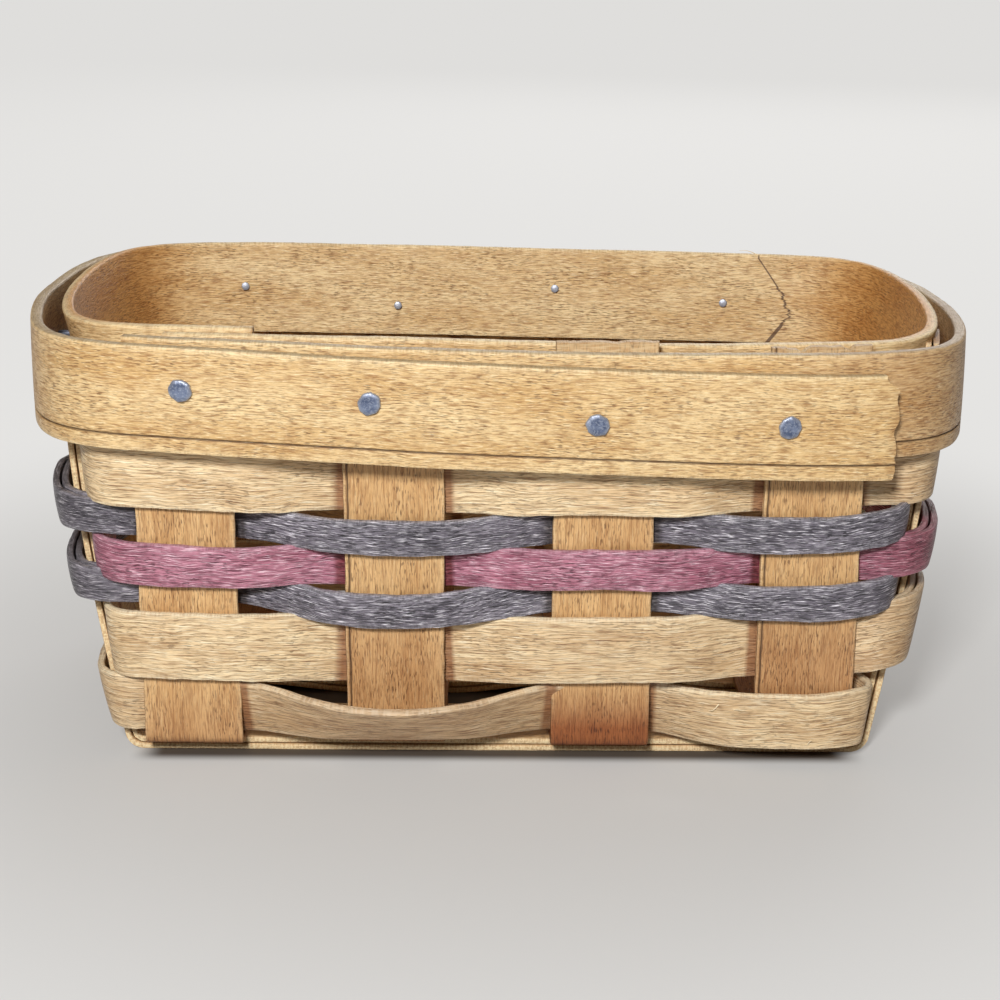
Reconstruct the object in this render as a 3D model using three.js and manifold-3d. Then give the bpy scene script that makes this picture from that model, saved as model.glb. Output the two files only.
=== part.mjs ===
// Woven splint basket for business cards: flat stakes, ring weavers, two rim bands and rim nails.
// Millimetres, +Z up, X along the length, the front of the basket faces -Y.
import * as THREE from "three";
import Module from "manifold-3d";

// Driving sizes of the basket
const BASE_LENGTH = 95; // over the end stakes at the floor
const BASE_WIDTH = 60.5; // over the cross stakes at the floor
const HEIGHT = 55.3; // front stake tops above the ground
const END_ROOM = 2.75; // from the outermost cross stakes to the outside of the end stakes
const SIDE_ROOM = 3.55; // from the outermost long stakes to the outside of the front and back
const FRONT_FLARE = 0.056; // outward lean of the outermost front and back stakes, mm per mm
const FRONT_BOW = 0.03; // extra lean of the middle front and back stakes
const END_FLARE = 0.225; // outward lean of the end stakes beside the corners, where they leave the floor
const END_BOW = 0.04; // extra lean of the middle end stakes
const END_UPRIGHT = 1; // share of their lean that the end stakes lose by the rim
const REAR_DROP = 2.4; // end and back stakes are cut this much lower than the front ones
const END_TOE_IN = 0.182; // share by which the end stakes have drawn together at their tops
const FRONT_TURN = THREE.MathUtils.degToRad(7); // outermost front and back stakes turn with the rim
const END_TURN = THREE.MathUtils.degToRad(11); // end stakes beside the corners turn with the rim

// Splint sizes
const STAKE_WIDTH = 12.4;
const STAKE_THICKNESS = 0.9; // cross stakes, one ply
const PLY_THICKNESS = 0.75; // long stakes, two plies each
const PLY_GAP = 0.2;
const WEAVER_THICKNESS = 0.9;
const NARROW_WEAVER = 4.5;
const WIDE_WEAVER = 8.7;
const FIRST_WEAVER = 7.4;
const BAND_THICKNESS = 1.5;
const BAND_WIDTH = 13.1;

// Clearances
const GAP = 0.3; // between a stake and what lies against it
const FLOOR_GAP = 0.2; // between the two layers of the woven bottom
const ROW_GAP = 0.35; // between the edges of neighbouring rows
const LAYER_GAP = 0.25; // between the two layers where a strip overlaps itself

// Weave
const FLOOR_TURN = 1.95; // inside bend radius of a cross stake that the first row holds in
const FREE_TURN = 0.7; // inside bend radius of a cross stake that passes outside the first row
const END_BEND = 0.7; // inside bend radius of the long stakes
const FLOOR_MARGIN = 0.3; // flat run of a stake past each stake that it crosses in the floor
const FIRST_LEAN = THREE.MathUtils.degToRad(16); // first row leans with the turn of the floor
const FIRST_LOW = 2.4; // lower edge of the first row above the ground
const FIRST_STAND = 1.05; // how far the leaning row stands off its stakes
const END_LEAN_SHARE = 0.3; // the first row leans less at the ends
const END_RISE_SHARE = 0.5; // and dips less outside the end stakes
const THIRD_LIFT = 0.3; // how much higher the third row runs behind a stake
const EDGE_MARGIN = 0.45; // straight run of a weaver past each stake edge
const CROSSING_SHARE = 0.98; // how far a row has climbed where it passes its neighbour
const HANDLE = 0.4; // Bezier handle as a share of the distance it spans

// Rim
const RIM_DROP = 8.4; // middle of the outer band, at its lowest along the back, below the stake tops
const OUTER_RISE = 2.45; // the outer band starts and comes round this much higher
const OUTER_FALL = 3.3; // and then drops this much along the front
const INNER_RISE = 1.85; // the inner band lies this much higher than the lowest part of the outer one
const RIM_LAP = 3.1; // how far the top row reaches up between the bands
const INNER_START = 2.4; // start of the inner band, left of the middle of its stake
const INNER_END = 8.2; // end of the inner band, right of the middle of its stake
const OUTER_END = 7.4; // end of the outer band, right of the middle of its stake

// Nails
const NAIL_RADIUS = 0.5;
const NAIL_HOLE = 0.7;
const HEAD_RADIUS = 1.45;
const HEAD_THICKNESS = 0.55;
const HEAD_GAP = 0.1;
const NAIL_TIP = 0.4; // how far the tip shows inside
const NAIL_SIDES = 12;
// Each hand-driven nail, from left to right: beside the middle of its stake and above the middle of the band
const FRONT_NAILS = [
  { beside: 1.4, above: 1.4 },
  { beside: -2.3, above: 1.4 },
  { beside: -1.4, above: 0 },
  { beside: -4.6, above: 0.5 },
];
const BACK_NAILS = [
  { beside: -1, above: 1.7 },
  { beside: 2.2, above: -1.1 },
  { beside: 4.6, above: 1.6 },
  { beside: 4.6, above: 0 },
];

const CROSS_COUNT = 4;
const LONG_COUNT = 3;
const CROSS_PITCH = (BASE_LENGTH - STAKE_WIDTH - 2 * END_ROOM) / (CROSS_COUNT - 1);
const LONG_PITCH = (BASE_WIDTH - STAKE_WIDTH - 2 * SIDE_ROOM) / (LONG_COUNT - 1);
const RIM_LEVEL = HEIGHT - RIM_DROP;
const LONG_THICKNESS = 2 * PLY_THICKNESS + PLY_GAP;
const UP = new THREE.Vector3(0, 0, 1);

const wasm = await Module();
wasm.setup();

const finishes = {
  stake: new THREE.MeshStandardMaterial({ color: 0xc79a56, roughness: 0.6 }),
  natural: new THREE.MeshStandardMaterial({ color: 0xd3ab69, roughness: 0.6 }),
  band: new THREE.MeshStandardMaterial({ color: 0xcb9a55, roughness: 0.55 }),
  dark: new THREE.MeshStandardMaterial({ color: 0x4a4d50, roughness: 0.6 }),
  red: new THREE.MeshStandardMaterial({ color: 0x8a3f4f, roughness: 0.6 }),
  steel: new THREE.MeshStandardMaterial({ color: 0x7d8794, roughness: 0.4, metalness: 0.9 }),
};
const basket = new THREE.Group();
basket.name = "business_card_basket";
const solids = new Map();

function blend(a, b, t) {
  return a + (b - a) * t;
}

function easing(t) {
  return t * t * (3 - 2 * t);
}

// Solid with the given corners and triangles, turned so that it faces outward
function solidFrom(corners, triangles) {
  let volume = 0;
  for (let i = 0; i < triangles.length; i += 3) {
    const [a, b, c] = [corners[triangles[i]], corners[triangles[i + 1]], corners[triangles[i + 2]]];
    volume += a.dot(b.clone().cross(c)) / 6;
  }
  const order = volume < 0 ? triangles.slice().reverse() : triangles;
  const vertProperties = new Float32Array(corners.flatMap((p) => p.toArray()));
  return new wasm.Manifold(new wasm.Mesh({ numProp: 3, vertProperties, triVerts: new Uint32Array(order) }));
}

// Corners of a strip's section, as shares of its half width and half thickness
const SECTION = [[-1, -1], [1, -1], [1, 1], [-1, 1]];

// Flat strip along stations: each has a point and the direction of the strip's width
function strip(stations, width, thickness) {
  const around = SECTION.length;
  const corners = [];
  const triangles = [];
  const last = stations.length - 1;
  stations.forEach((station, i) => {
    const ahead = stations[Math.min(i + 1, last)].point;
    const behind = stations[Math.max(i - 1, 0)].point;
    const along = ahead.clone().sub(behind).normalize();
    const across = station.across.clone().addScaledVector(along, -station.across.dot(along)).normalize();
    const normal = along.clone().cross(across);
    for (const [u, v] of SECTION) {
      corners.push(
        station.point
          .clone()
          .addScaledVector(across, (u * width) / 2)
          .addScaledVector(normal, (v * thickness) / 2),
      );
    }
  });
  const quad = (a, b, c, d) => triangles.push(a, b, c, a, c, d);
  for (let i = 0; i < last; i += 1) {
    for (let k = 0; k < around; k += 1) {
      const next = (k + 1) % around;
      quad(around * i + k, around * i + next, around * (i + 1) + next, around * (i + 1) + k);
    }
  }
  const cap = SECTION.map((_, k) => k);
  quad(...cap.slice().reverse());
  quad(...cap.map((k) => around * last + k));
  return solidFrom(corners, triangles);
}

// The same stations moved square to the strip by a distance
function shifted(stations, distance) {
  const last = stations.length - 1;
  return stations.map((station, i) => {
    const ahead = stations[Math.min(i + 1, last)].point;
    const behind = stations[Math.max(i - 1, 0)].point;
    const along = ahead.clone().sub(behind).normalize();
    const across = station.across.clone().addScaledVector(along, -station.across.dot(along)).normalize();
    const normal = along.clone().cross(across);
    return { point: station.point.clone().addScaledVector(normal, distance), across: station.across };
  });
}

// Where a stake stands on one side of the basket
function standing(side, lateral, reach, lean, upright, toe, turn, thickness, bend) {
  const frames = {
    front: { out: new THREE.Vector3(0, -1, 0), run: new THREE.Vector3(1, 0, 0) },
    right: { out: new THREE.Vector3(1, 0, 0), run: new THREE.Vector3(0, 1, 0) },
    back: { out: new THREE.Vector3(0, 1, 0), run: new THREE.Vector3(-1, 0, 0) },
    left: { out: new THREE.Vector3(-1, 0, 0), run: new THREE.Vector3(0, -1, 0) },
  };
  const { out, run } = frames[side];
  // The lean eases off with the square of the height by the upright share
  const at = (z) =>
    out
      .clone()
      .multiplyScalar(reach + lean * (z - (upright * z ** 3) / (3 * HEIGHT ** 2)))
      .addScaledVector(run, lateral * (1 - (toe * z) / HEIGHT))
      .setZ(z);
  const riseAt = (z) =>
    out
      .clone()
      .multiplyScalar(lean * (1 - upright * (z / HEIGHT) ** 2))
      .addScaledVector(run, (-lateral * toe) / HEIGHT)
      .add(UP)
      .normalize();
  const runAt = (z) => run.clone().applyAxisAngle(UP, (turn * z) / HEIGHT);
  const normalAt = (z) => runAt(z).cross(riseAt(z)).normalize();
  const top = side === "front" ? HEIGHT : HEIGHT - REAR_DROP;
  return { side, out, run, at, riseAt, runAt, normalAt, reach, lean, upright, top, thickness, bend };
}

// Cross stakes 1 to 4 run left to right, long stakes 1 to 3 run front to back
const crossAt = (i) => (i - (CROSS_COUNT - 1) / 2) * CROSS_PITCH;
const longAt = (k) => (k - (LONG_COUNT - 1) / 2) * LONG_PITCH;
// Whether cross stake i lies over long stake k: always at the front and back, in turn over the middle
const crossIsOver = (i, k) => k === 0 || k === LONG_COUNT - 1 || (i + k) % 2 === 0;
const isHeldIn = (i) => i % 2 === 1; // the first row passes outside cross stake i
const lowCross = STAKE_THICKNESS / 2;
const highCross = LONG_THICKNESS + FLOOR_GAP + STAKE_THICKNESS / 2;
const lowLong = LONG_THICKNESS / 2;
const highLong = STAKE_THICKNESS + FLOOR_GAP + LONG_THICKNESS / 2;

function crossStanding(side, i) {
  const middle = i > 0 && i < CROSS_COUNT - 1;
  const lateral = side === "front" ? crossAt(i) : -crossAt(i);
  const reach = BASE_WIDTH / 2 - STAKE_THICKNESS / 2;
  const lean = FRONT_FLARE + (middle ? FRONT_BOW : 0);
  const turn = (FRONT_TURN * lateral) / crossAt(CROSS_COUNT - 1);
  const bend = isHeldIn(i) ? FLOOR_TURN : FREE_TURN;
  return standing(side, lateral, reach, lean, 0, 0, turn, STAKE_THICKNESS, bend);
}

function longStanding(side, k) {
  const middle = k > 0 && k < LONG_COUNT - 1;
  const lateral = side === "right" ? longAt(k) : -longAt(k);
  const reach = BASE_LENGTH / 2 - LONG_THICKNESS / 2;
  const lean = END_FLARE + (middle ? END_BOW : 0);
  const turn = (END_TURN * lateral) / longAt(LONG_COUNT - 1);
  return standing(side, lateral, reach, lean, END_UPRIGHT, END_TOE_IN, turn, LONG_THICKNESS, END_BEND);
}

// All stake ends in order round the basket, from the front left corner
const ring = [];
for (let i = 0; i < CROSS_COUNT; i += 1) ring.push(crossStanding("front", i));
for (let k = 0; k < LONG_COUNT; k += 1) ring.push(longStanding("right", k));
for (let i = CROSS_COUNT - 1; i >= 0; i -= 1) ring.push(crossStanding("back", i));
for (let k = LONG_COUNT - 1; k >= 0; k -= 1) ring.push(longStanding("left", k));

// Half of a stake: from its top down the wall and round the turn to the floor
function wallStations(stand, level) {
  const radius = stand.bend + stand.thickness / 2;
  const tilt = Math.atan(stand.lean);
  const centreReach = stand.reach + stand.lean * (level + radius) - radius / Math.cos(tilt);
  const sense = stand.side === "front" || stand.side === "right" ? 1 : -1;
  const acrossAt = (z) => stand.runAt(z).multiplyScalar(sense);
  const wallSteps = 10;
  const turnSteps = 5;
  const stations = [];
  const turnTop = level + radius - radius * Math.sin(tilt);
  for (let s = 0; s < wallSteps; s += 1) {
    const z = blend(stand.top, turnTop, s / wallSteps);
    stations.push({ point: stand.at(z), across: acrossAt(z) });
  }
  for (let s = 0; s <= turnSteps; s += 1) {
    const angle = blend(-tilt, -Math.PI / 2, s / turnSteps);
    const z = level + radius + radius * Math.sin(angle);
    const reach = centreReach + radius * Math.cos(angle);
    const point = stand.at(z);
    point.addScaledVector(stand.out, reach - point.dot(stand.out));
    stations.push({ point, across: acrossAt(z) });
  }
  return stations;
}

// Floor run of a stake over and under the stakes it crosses
function floorStations(crossings, make, across) {
  const half = STAKE_WIDTH / 2 + FLOOR_MARGIN;
  const steps = 4;
  const stations = [];
  crossings.forEach((crossing, n) => {
    stations.push({ point: make(crossing.at - half, crossing.level), across });
    stations.push({ point: make(crossing.at + half, crossing.level), across });
    const next = crossings[n + 1];
    if (!next) return;
    for (let s = 1; s < steps; s += 1) {
      const t = s / steps;
      const place = blend(crossing.at + half, next.at - half, t);
      stations.push({ point: make(place, blend(crossing.level, next.level, easing(t))), across });
    }
  });
  return stations;
}

// Cross stakes, one ply, front rim to back rim under the floor
for (let i = 0; i < CROSS_COUNT; i += 1) {
  const across = new THREE.Vector3(1, 0, 0);
  const levelAt = (k) => (crossIsOver(i, k) ? highCross : lowCross);
  const crossings = [];
  for (let k = 0; k < LONG_COUNT; k += 1) crossings.push({ at: longAt(k), level: levelAt(k) });
  const front = wallStations(crossStanding("front", i), levelAt(0));
  const back = wallStations(crossStanding("back", i), levelAt(LONG_COUNT - 1));
  const floor = floorStations(crossings, (y, z) => new THREE.Vector3(crossAt(i), y, z), across);
  const stations = [...front, ...floor, ...back.reverse()];
  solids.set("cross_stake_" + (i + 1), {
    solid: strip(stations, STAKE_WIDTH, STAKE_THICKNESS),
    finish: finishes.stake,
  });
}

// Long stakes, two plies each, left rim to right rim under the floor
const longNames = ["front", "middle", "back"];
for (let k = 0; k < LONG_COUNT; k += 1) {
  const across = new THREE.Vector3(0, 1, 0);
  const levelAt = (i) => (crossIsOver(i, k) ? lowLong : highLong);
  const crossings = [];
  for (let i = 0; i < CROSS_COUNT; i += 1) crossings.push({ at: crossAt(i), level: levelAt(i) });
  const left = wallStations(longStanding("left", k), levelAt(0));
  const right = wallStations(longStanding("right", k), levelAt(CROSS_COUNT - 1));
  const floor = floorStations(crossings, (x, z) => new THREE.Vector3(x, longAt(k), z), across);
  const stations = [...left, ...floor, ...right.reverse()];
  const step = (PLY_THICKNESS + PLY_GAP) / 2;
  for (const [layer, side] of [["inner", 1], ["outer", -1]]) {
    solids.set("long_stake_" + longNames[k] + "_" + layer, {
      solid: strip(shifted(stations, side * step), STAKE_WIDTH, PLY_THICKNESS),
      finish: finishes.stake,
    });
  }
}

// Stations of a strip that visits stake ends in turn; each visit gives the place and lean there
function ringStations(visits, straightSteps, cornerSteps) {
  const stations = [];
  visits.forEach((visit, n) => {
    const { stand, entry, exit } = visit;
    const normal = stand.normalAt(visit.level);
    const centre = stand.at(visit.level).addScaledVector(normal, visit.offset);
    visit.run = stand.runAt(visit.level);
    visit.across = stand
      .riseAt(visit.level)
      .multiplyScalar(Math.cos(visit.lean))
      .addScaledVector(normal, Math.sin(visit.lean));
    visit.begin = centre.clone().addScaledVector(visit.run, -entry);
    visit.finish = centre.clone().addScaledVector(visit.run, exit);
    if (n > 0) {
      const before = visits[n - 1];
      const handle = before.finish.distanceTo(visit.begin) * HANDLE;
      const curve = new THREE.CubicBezierCurve3(
        before.finish,
        before.finish.clone().addScaledVector(before.run, handle),
        visit.begin.clone().addScaledVector(visit.run, -handle),
        visit.begin,
      );
      const steps = before.stand.side === stand.side ? straightSteps : cornerSteps;
      for (let s = 1; s < steps; s += 1) {
        const across = before.across.clone().lerp(visit.across, easing(s / steps)).normalize();
        stations.push({ point: curve.getPoint(s / steps), across });
      }
    }
    stations.push({ point: visit.begin, across: visit.across });
    stations.push({ point: visit.finish, across: visit.across });
  });
  return stations;
}

// Rows of weavers from the floor up; the overlap starts behind the stake end given by its place
const firstHalf = (FIRST_WEAVER / 2) * Math.cos(FIRST_LEAN);
const firstOutside = FIRST_LOW + firstHalf;
const firstInside = highCross + STAKE_THICKNESS / 2 + GAP + FIRST_WEAVER / 2;
const frontLeft = 0;
const frontRight = CROSS_COUNT - 1;
const rightMiddle = CROSS_COUNT + (LONG_COUNT - 1) / 2;
const backLeft = 2 * CROSS_COUNT + LONG_COUNT - 1;
const leftMiddle = backLeft + (LONG_COUNT + 1) / 2;
const rows = [
  { name: "weaver_1_natural", width: FIRST_WEAVER, start: frontLeft, finish: finishes.natural },
  { name: "weaver_2_natural", width: WIDE_WEAVER, start: frontRight, finish: finishes.natural },
  { name: "weaver_3_dark", width: NARROW_WEAVER - THIRD_LIFT / 2, start: leftMiddle, finish: finishes.dark },
  { name: "weaver_4_red", width: NARROW_WEAVER, start: frontRight, finish: finishes.red },
  { name: "weaver_5_dark", width: NARROW_WEAVER, start: leftMiddle, finish: finishes.dark },
  { name: "weaver_6_natural", start: frontRight, finish: finishes.natural }, // fills up to the rim
];
let rowTop = blend(firstOutside, firstInside, CROSSING_SHARE) + FIRST_WEAVER / 2;
rows.forEach((row, n) => {
  row.lift = n === 2 ? THIRD_LIFT : 0;
  const climb = row.lift * (CROSSING_SHARE - 0.5);
  row.width ??= RIM_LEVEL - BAND_WIDTH / 2 + RIM_LAP - rowTop - ROW_GAP;
  row.level = rowTop + ROW_GAP + climb + row.width / 2;
  if (n > 0) rowTop = row.level + climb + row.width / 2;
});
const OVERLAP_STAKES = 3;
for (const row of rows) row.laps = OVERLAP_STAKES;
const topRow = rows[rows.length - 1];
topRow.laps = 1; // under the rim there is room for one stake's overlap only
const weaverStep = WEAVER_THICKNESS + LAYER_GAP;

// Whether row n passes outside the stake end at a place round the basket
function isOutside(place, n) {
  return (place + n) % 2 === 1;
}

rows.forEach((row, n) => {
  const isFirst = n === 0;
  const visits = [];
  for (let v = 0; v < ring.length + row.laps; v += 1) {
    const place = (row.start + v) % ring.length;
    const stand = ring[place];
    const outside = isOutside(place, n);
    const atEnd = stand.side === "left" || stand.side === "right";
    const leaning = isFirst && outside ? (atEnd ? END_LEAN_SHARE : 1) : 0;
    const lean = FIRST_LEAN * leaning;
    const near = stand.thickness / 2 + GAP + WEAVER_THICKNESS / 2 + FIRST_STAND * leaning;
    const far = near + weaverStep;
    const beginning = v < row.laps;
    const ending = v >= ring.length;
    let level = row.level + (outside ? -row.lift : row.lift) / 2;
    if (isFirst) level = outside ? blend(firstOutside, firstInside, atEnd ? END_RISE_SHARE : 0) : firstInside;
    let offset = outside ? near : -near;
    if (outside && ending) offset = far;
    if (!outside && beginning) offset = -far;
    const reach = STAKE_WIDTH / 2 + EDGE_MARGIN;
    visits.push({ stand, level, offset, lean, entry: reach, exit: reach });
  }
  solids.set(row.name, {
    solid: strip(ringStations(visits, 6, 8), row.width, WEAVER_THICKNESS),
    finish: row.finish,
  });
});

// Rim bands: each one strip that closes over its own start on the front
const bandStep = BAND_THICKNESS + LAYER_GAP;
// Distance from a stake end to a band that clears the top weaver, doubled where that one overlaps;
// inside a wall that curves upright the band's lower edge comes nearer, so it stands off by the curve
function bandOffset(place, outward) {
  const inOverlap = place >= topRow.start && place < topRow.start + topRow.laps;
  const doubled = inOverlap && isOutside(place, rows.length - 1) === outward;
  const { thickness, upright, lean } = ring[place];
  const clear = thickness / 2 + WEAVER_THICKNESS + 2 * GAP + BAND_THICKNESS / 2;
  const curve = outward ? 0 : (upright * lean * RIM_LEVEL * (BAND_WIDTH / 2) ** 2) / HEIGHT ** 2;
  return clear + curve + (doubled ? weaverStep : 0);
}
const bandReach = STAKE_WIDTH / 2 + EDGE_MARGIN;

const outerVisits = [];
for (let v = 0; v < ring.length + CROSS_COUNT; v += 1) {
  const place = v % ring.length;
  const stand = ring[place];
  const second = v >= ring.length;
  const share = second ? (v - ring.length) / (CROSS_COUNT - 1) : v / ring.length;
  const level = second
    ? RIM_LEVEL + OUTER_RISE - OUTER_FALL * share
    : RIM_LEVEL + OUTER_RISE * Math.abs(1 - 2 * share) ** 3;
  outerVisits.push({
    stand,
    level,
    offset: bandOffset(place, true) + (second ? bandStep : 0),
    lean: 0,
    entry: bandReach,
    exit: v === ring.length + CROSS_COUNT - 1 ? OUTER_END : bandReach,
  });
}
solids.set("rim_band_outer", {
  solid: strip(ringStations(outerVisits, 4, 8), BAND_WIDTH, BAND_THICKNESS),
  finish: finishes.band,
});

const innerVisits = [];
for (let v = 0; v <= ring.length; v += 1) {
  const place = v % ring.length;
  const stand = ring[place];
  const second = v === ring.length;
  innerVisits.push({
    stand,
    level: RIM_LEVEL + INNER_RISE,
    offset: -bandOffset(place, false) - (second ? bandStep : 0),
    lean: 0,
    entry: v === 0 ? INNER_START : bandReach,
    exit: second ? INNER_END : bandReach,
  });
}
solids.set("rim_band_inner", {
  solid: strip(ringStations(innerVisits, 4, 8), BAND_WIDTH, BAND_THICKNESS),
  finish: finishes.band,
});

// Turned solid on a line: profile pairs of radius and distance along the line
function turned(profile, origin, direction) {
  const axis = direction.clone().normalize();
  const side = new THREE.Vector3().crossVectors(UP, axis).normalize();
  const top = new THREE.Vector3().crossVectors(axis, side);
  const corners = [];
  const triangles = [];
  const ends = [];
  profile.forEach(([radius, along]) => {
    for (let s = 0; s < NAIL_SIDES; s += 1) {
      const angle = (2 * Math.PI * s) / NAIL_SIDES;
      corners.push(
        origin
          .clone()
          .addScaledVector(axis, along)
          .addScaledVector(side, radius * Math.cos(angle))
          .addScaledVector(top, radius * Math.sin(angle)),
      );
    }
  });
  for (const [, along] of [profile[0], profile[profile.length - 1]]) {
    ends.push(corners.length);
    corners.push(origin.clone().addScaledVector(axis, along));
  }
  for (let s = 0; s < NAIL_SIDES; s += 1) {
    const next = (s + 1) % NAIL_SIDES;
    for (let p = 0; p < profile.length - 1; p += 1) {
      const [a, b] = [p * NAIL_SIDES, (p + 1) * NAIL_SIDES];
      triangles.push(a + s, a + next, b + next, a + s, b + next, b + s);
    }
    const lastRing = (profile.length - 1) * NAIL_SIDES;
    triangles.push(ends[0], next, s);
    triangles.push(ends[1], lastRing + s, lastRing + next);
  }
  return solidFrom(corners, triangles);
}

// A rim nail through the bands and its stake
function nail(name, place, beside, above, layers) {
  const stand = ring[place];
  const visit = layers === 2 ? outerVisits[ring.length + place] : outerVisits[place];
  const level = visit.level + above;
  const origin = stand.at(level).addScaledVector(stand.runAt(level), beside);
  const direction = stand.normalAt(level);
  const face = visit.offset + BAND_THICKNESS / 2 + HEAD_GAP;
  const inside = place === frontLeft ? 2 : 1;
  const tip = -(bandOffset(place, false) + BAND_THICKNESS / 2 + (inside - 1) * bandStep + NAIL_TIP);
  const profile = [
    [NAIL_RADIUS * 0.6, tip],
    [NAIL_RADIUS, tip + NAIL_TIP],
    [NAIL_RADIUS, face],
    [HEAD_RADIUS, face],
    [HEAD_RADIUS, face + HEAD_THICKNESS * 0.6],
    [HEAD_RADIUS * 0.75, face + HEAD_THICKNESS],
  ];
  solids.set(name, { solid: turned(profile, origin, direction), finish: finishes.steel });
  const hole = turned([[NAIL_HOLE, tip - 1], [NAIL_HOLE, face + 1]], origin, direction);
  const pierced = ["rim_band_outer", "rim_band_inner"];
  if (stand.side === "front") pierced.push("cross_stake_" + (place + 1));
  if (stand.side === "back") pierced.push("cross_stake_" + (backLeft - place + 1));
  if (stand.side === "left" || stand.side === "right") {
    pierced.push("long_stake_middle_inner", "long_stake_middle_outer");
  }
  for (const key of pierced) {
    const entry = solids.get(key);
    entry.solid = entry.solid.subtract(hole);
  }
}
for (let i = 0; i < CROSS_COUNT; i += 1) {
  const front = FRONT_NAILS[i];
  const back = BACK_NAILS[i];
  nail("nail_front_" + (i + 1), frontLeft + i, front.beside, front.above, 2);
  nail("nail_back_" + (i + 1), backLeft - i, back.beside, back.above, 1);
}
nail("nail_right", rightMiddle, 0, 0, 1);
nail("nail_left", leftMiddle, 0, 0, 1);

// Meshes, moved so that the basket's box stands centred on the ground
const box = new THREE.Box3();
for (const { solid } of solids.values()) {
  const { min, max } = solid.boundingBox();
  box.expandByPoint(new THREE.Vector3(...min));
  box.expandByPoint(new THREE.Vector3(...max));
}
const middle = box.getCenter(new THREE.Vector3());
for (const [name, { solid, finish }] of solids) {
  const mesh = solid.translate([-middle.x, -middle.y, -box.min.z]).getMesh();
  const positions = new Float32Array(mesh.numVert * 3);
  for (let v = 0; v < mesh.numVert; v += 1) {
    positions.set(mesh.vertProperties.subarray(v * mesh.numProp, v * mesh.numProp + 3), v * 3);
  }
  const geometry = new THREE.BufferGeometry();
  geometry.setAttribute("position", new THREE.BufferAttribute(positions, 3));
  geometry.setIndex(new THREE.BufferAttribute(mesh.triVerts, 1));
  geometry.computeVertexNormals();
  const piece = new THREE.Mesh(geometry, finish);
  piece.name = name;
  basket.add(piece);
}

export default basket;
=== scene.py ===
"""Business card basket of woven splints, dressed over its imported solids.

Each splint, rim band and nail is one surface worked out with numpy in millimetres: a rounded section
carried along the path that the strip takes through the weave. The finishes are grain patterns that
follow each strip by its own strip coordinates.
"""

import math

import bpy
import numpy as np
from mathutils import Matrix, Vector


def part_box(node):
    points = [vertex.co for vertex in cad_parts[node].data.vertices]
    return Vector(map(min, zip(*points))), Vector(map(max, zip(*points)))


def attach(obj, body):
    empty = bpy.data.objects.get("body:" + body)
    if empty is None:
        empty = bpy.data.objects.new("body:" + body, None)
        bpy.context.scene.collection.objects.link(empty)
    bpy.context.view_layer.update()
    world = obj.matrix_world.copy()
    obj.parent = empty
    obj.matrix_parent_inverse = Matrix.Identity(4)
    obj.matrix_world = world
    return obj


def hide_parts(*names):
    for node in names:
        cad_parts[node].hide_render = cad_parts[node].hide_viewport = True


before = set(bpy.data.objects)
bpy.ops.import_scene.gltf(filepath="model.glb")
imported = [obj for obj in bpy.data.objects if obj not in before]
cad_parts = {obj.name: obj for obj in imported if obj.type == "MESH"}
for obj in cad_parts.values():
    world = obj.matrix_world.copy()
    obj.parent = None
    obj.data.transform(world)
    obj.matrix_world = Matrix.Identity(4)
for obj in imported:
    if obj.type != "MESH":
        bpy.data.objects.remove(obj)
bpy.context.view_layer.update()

MM = 0.001
UP = np.array([0.0, 0.0, 1.0])

# Sizes of the basket in millimetres, the same as its solids have
BASE_LENGTH = 95.0
BASE_WIDTH = 60.5
HEIGHT = 55.3
END_ROOM = 2.75
SIDE_ROOM = 3.55
FRONT_FLARE = 0.056
FRONT_BOW = 0.03
END_FLARE = 0.225
END_BOW = 0.04
END_UPRIGHT = 1.0
END_TOE_IN = 0.182
REAR_DROP = 2.4
END_TOP_DROP = 4.0
FRONT_TOPS = (55.4, 54.5, 55.8, 55.0)
FRONT_TURN = math.radians(7)
END_TURN = math.radians(11)
STAKE_WIDTH = 12.4
STAKE_THICKNESS = 0.9
PLY_THICKNESS = 0.75
PLY_GAP = 0.2
LONG_THICKNESS = 2 * PLY_THICKNESS + PLY_GAP
WEAVER_THICKNESS = 0.9
BAND_THICKNESS = 1.5
BAND_WIDTH = 13.1
CROSS_COUNT = 4
LONG_COUNT = 3
CROSS_PITCH = (BASE_LENGTH - STAKE_WIDTH - 2 * END_ROOM) / (CROSS_COUNT - 1)
LONG_PITCH = (BASE_WIDTH - STAKE_WIDTH - 2 * SIDE_ROOM) / (LONG_COUNT - 1)
GAP = 0.3
FLOOR_GAP = 0.2
LAYER_GAP = 0.25
FLOOR_TURN = 1.95
FREE_TURN = 0.7
END_BEND = 0.7
FLOOR_MARGIN = 0.3
EDGE_MARGIN = 0.45
HANDLE = 0.42

# Rows of weavers: pairs are for the long sides and the ends, and laps are counted in stake ends
ROW_TAIL = 0.2
ROW_LAPS = 3
ROW_SWING = (1.5, 1.95)
ROW_FLATNESS = (1.2, 2.0)
ROW_UNEVENNESS = 0.2
ROW_CROWN = 0.12
ROW_EDGE_WANDER = 0.16
LAP_PARTS = (0.85, 0.4)
LAP_CLOSES = (0.6, 0.15)

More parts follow.
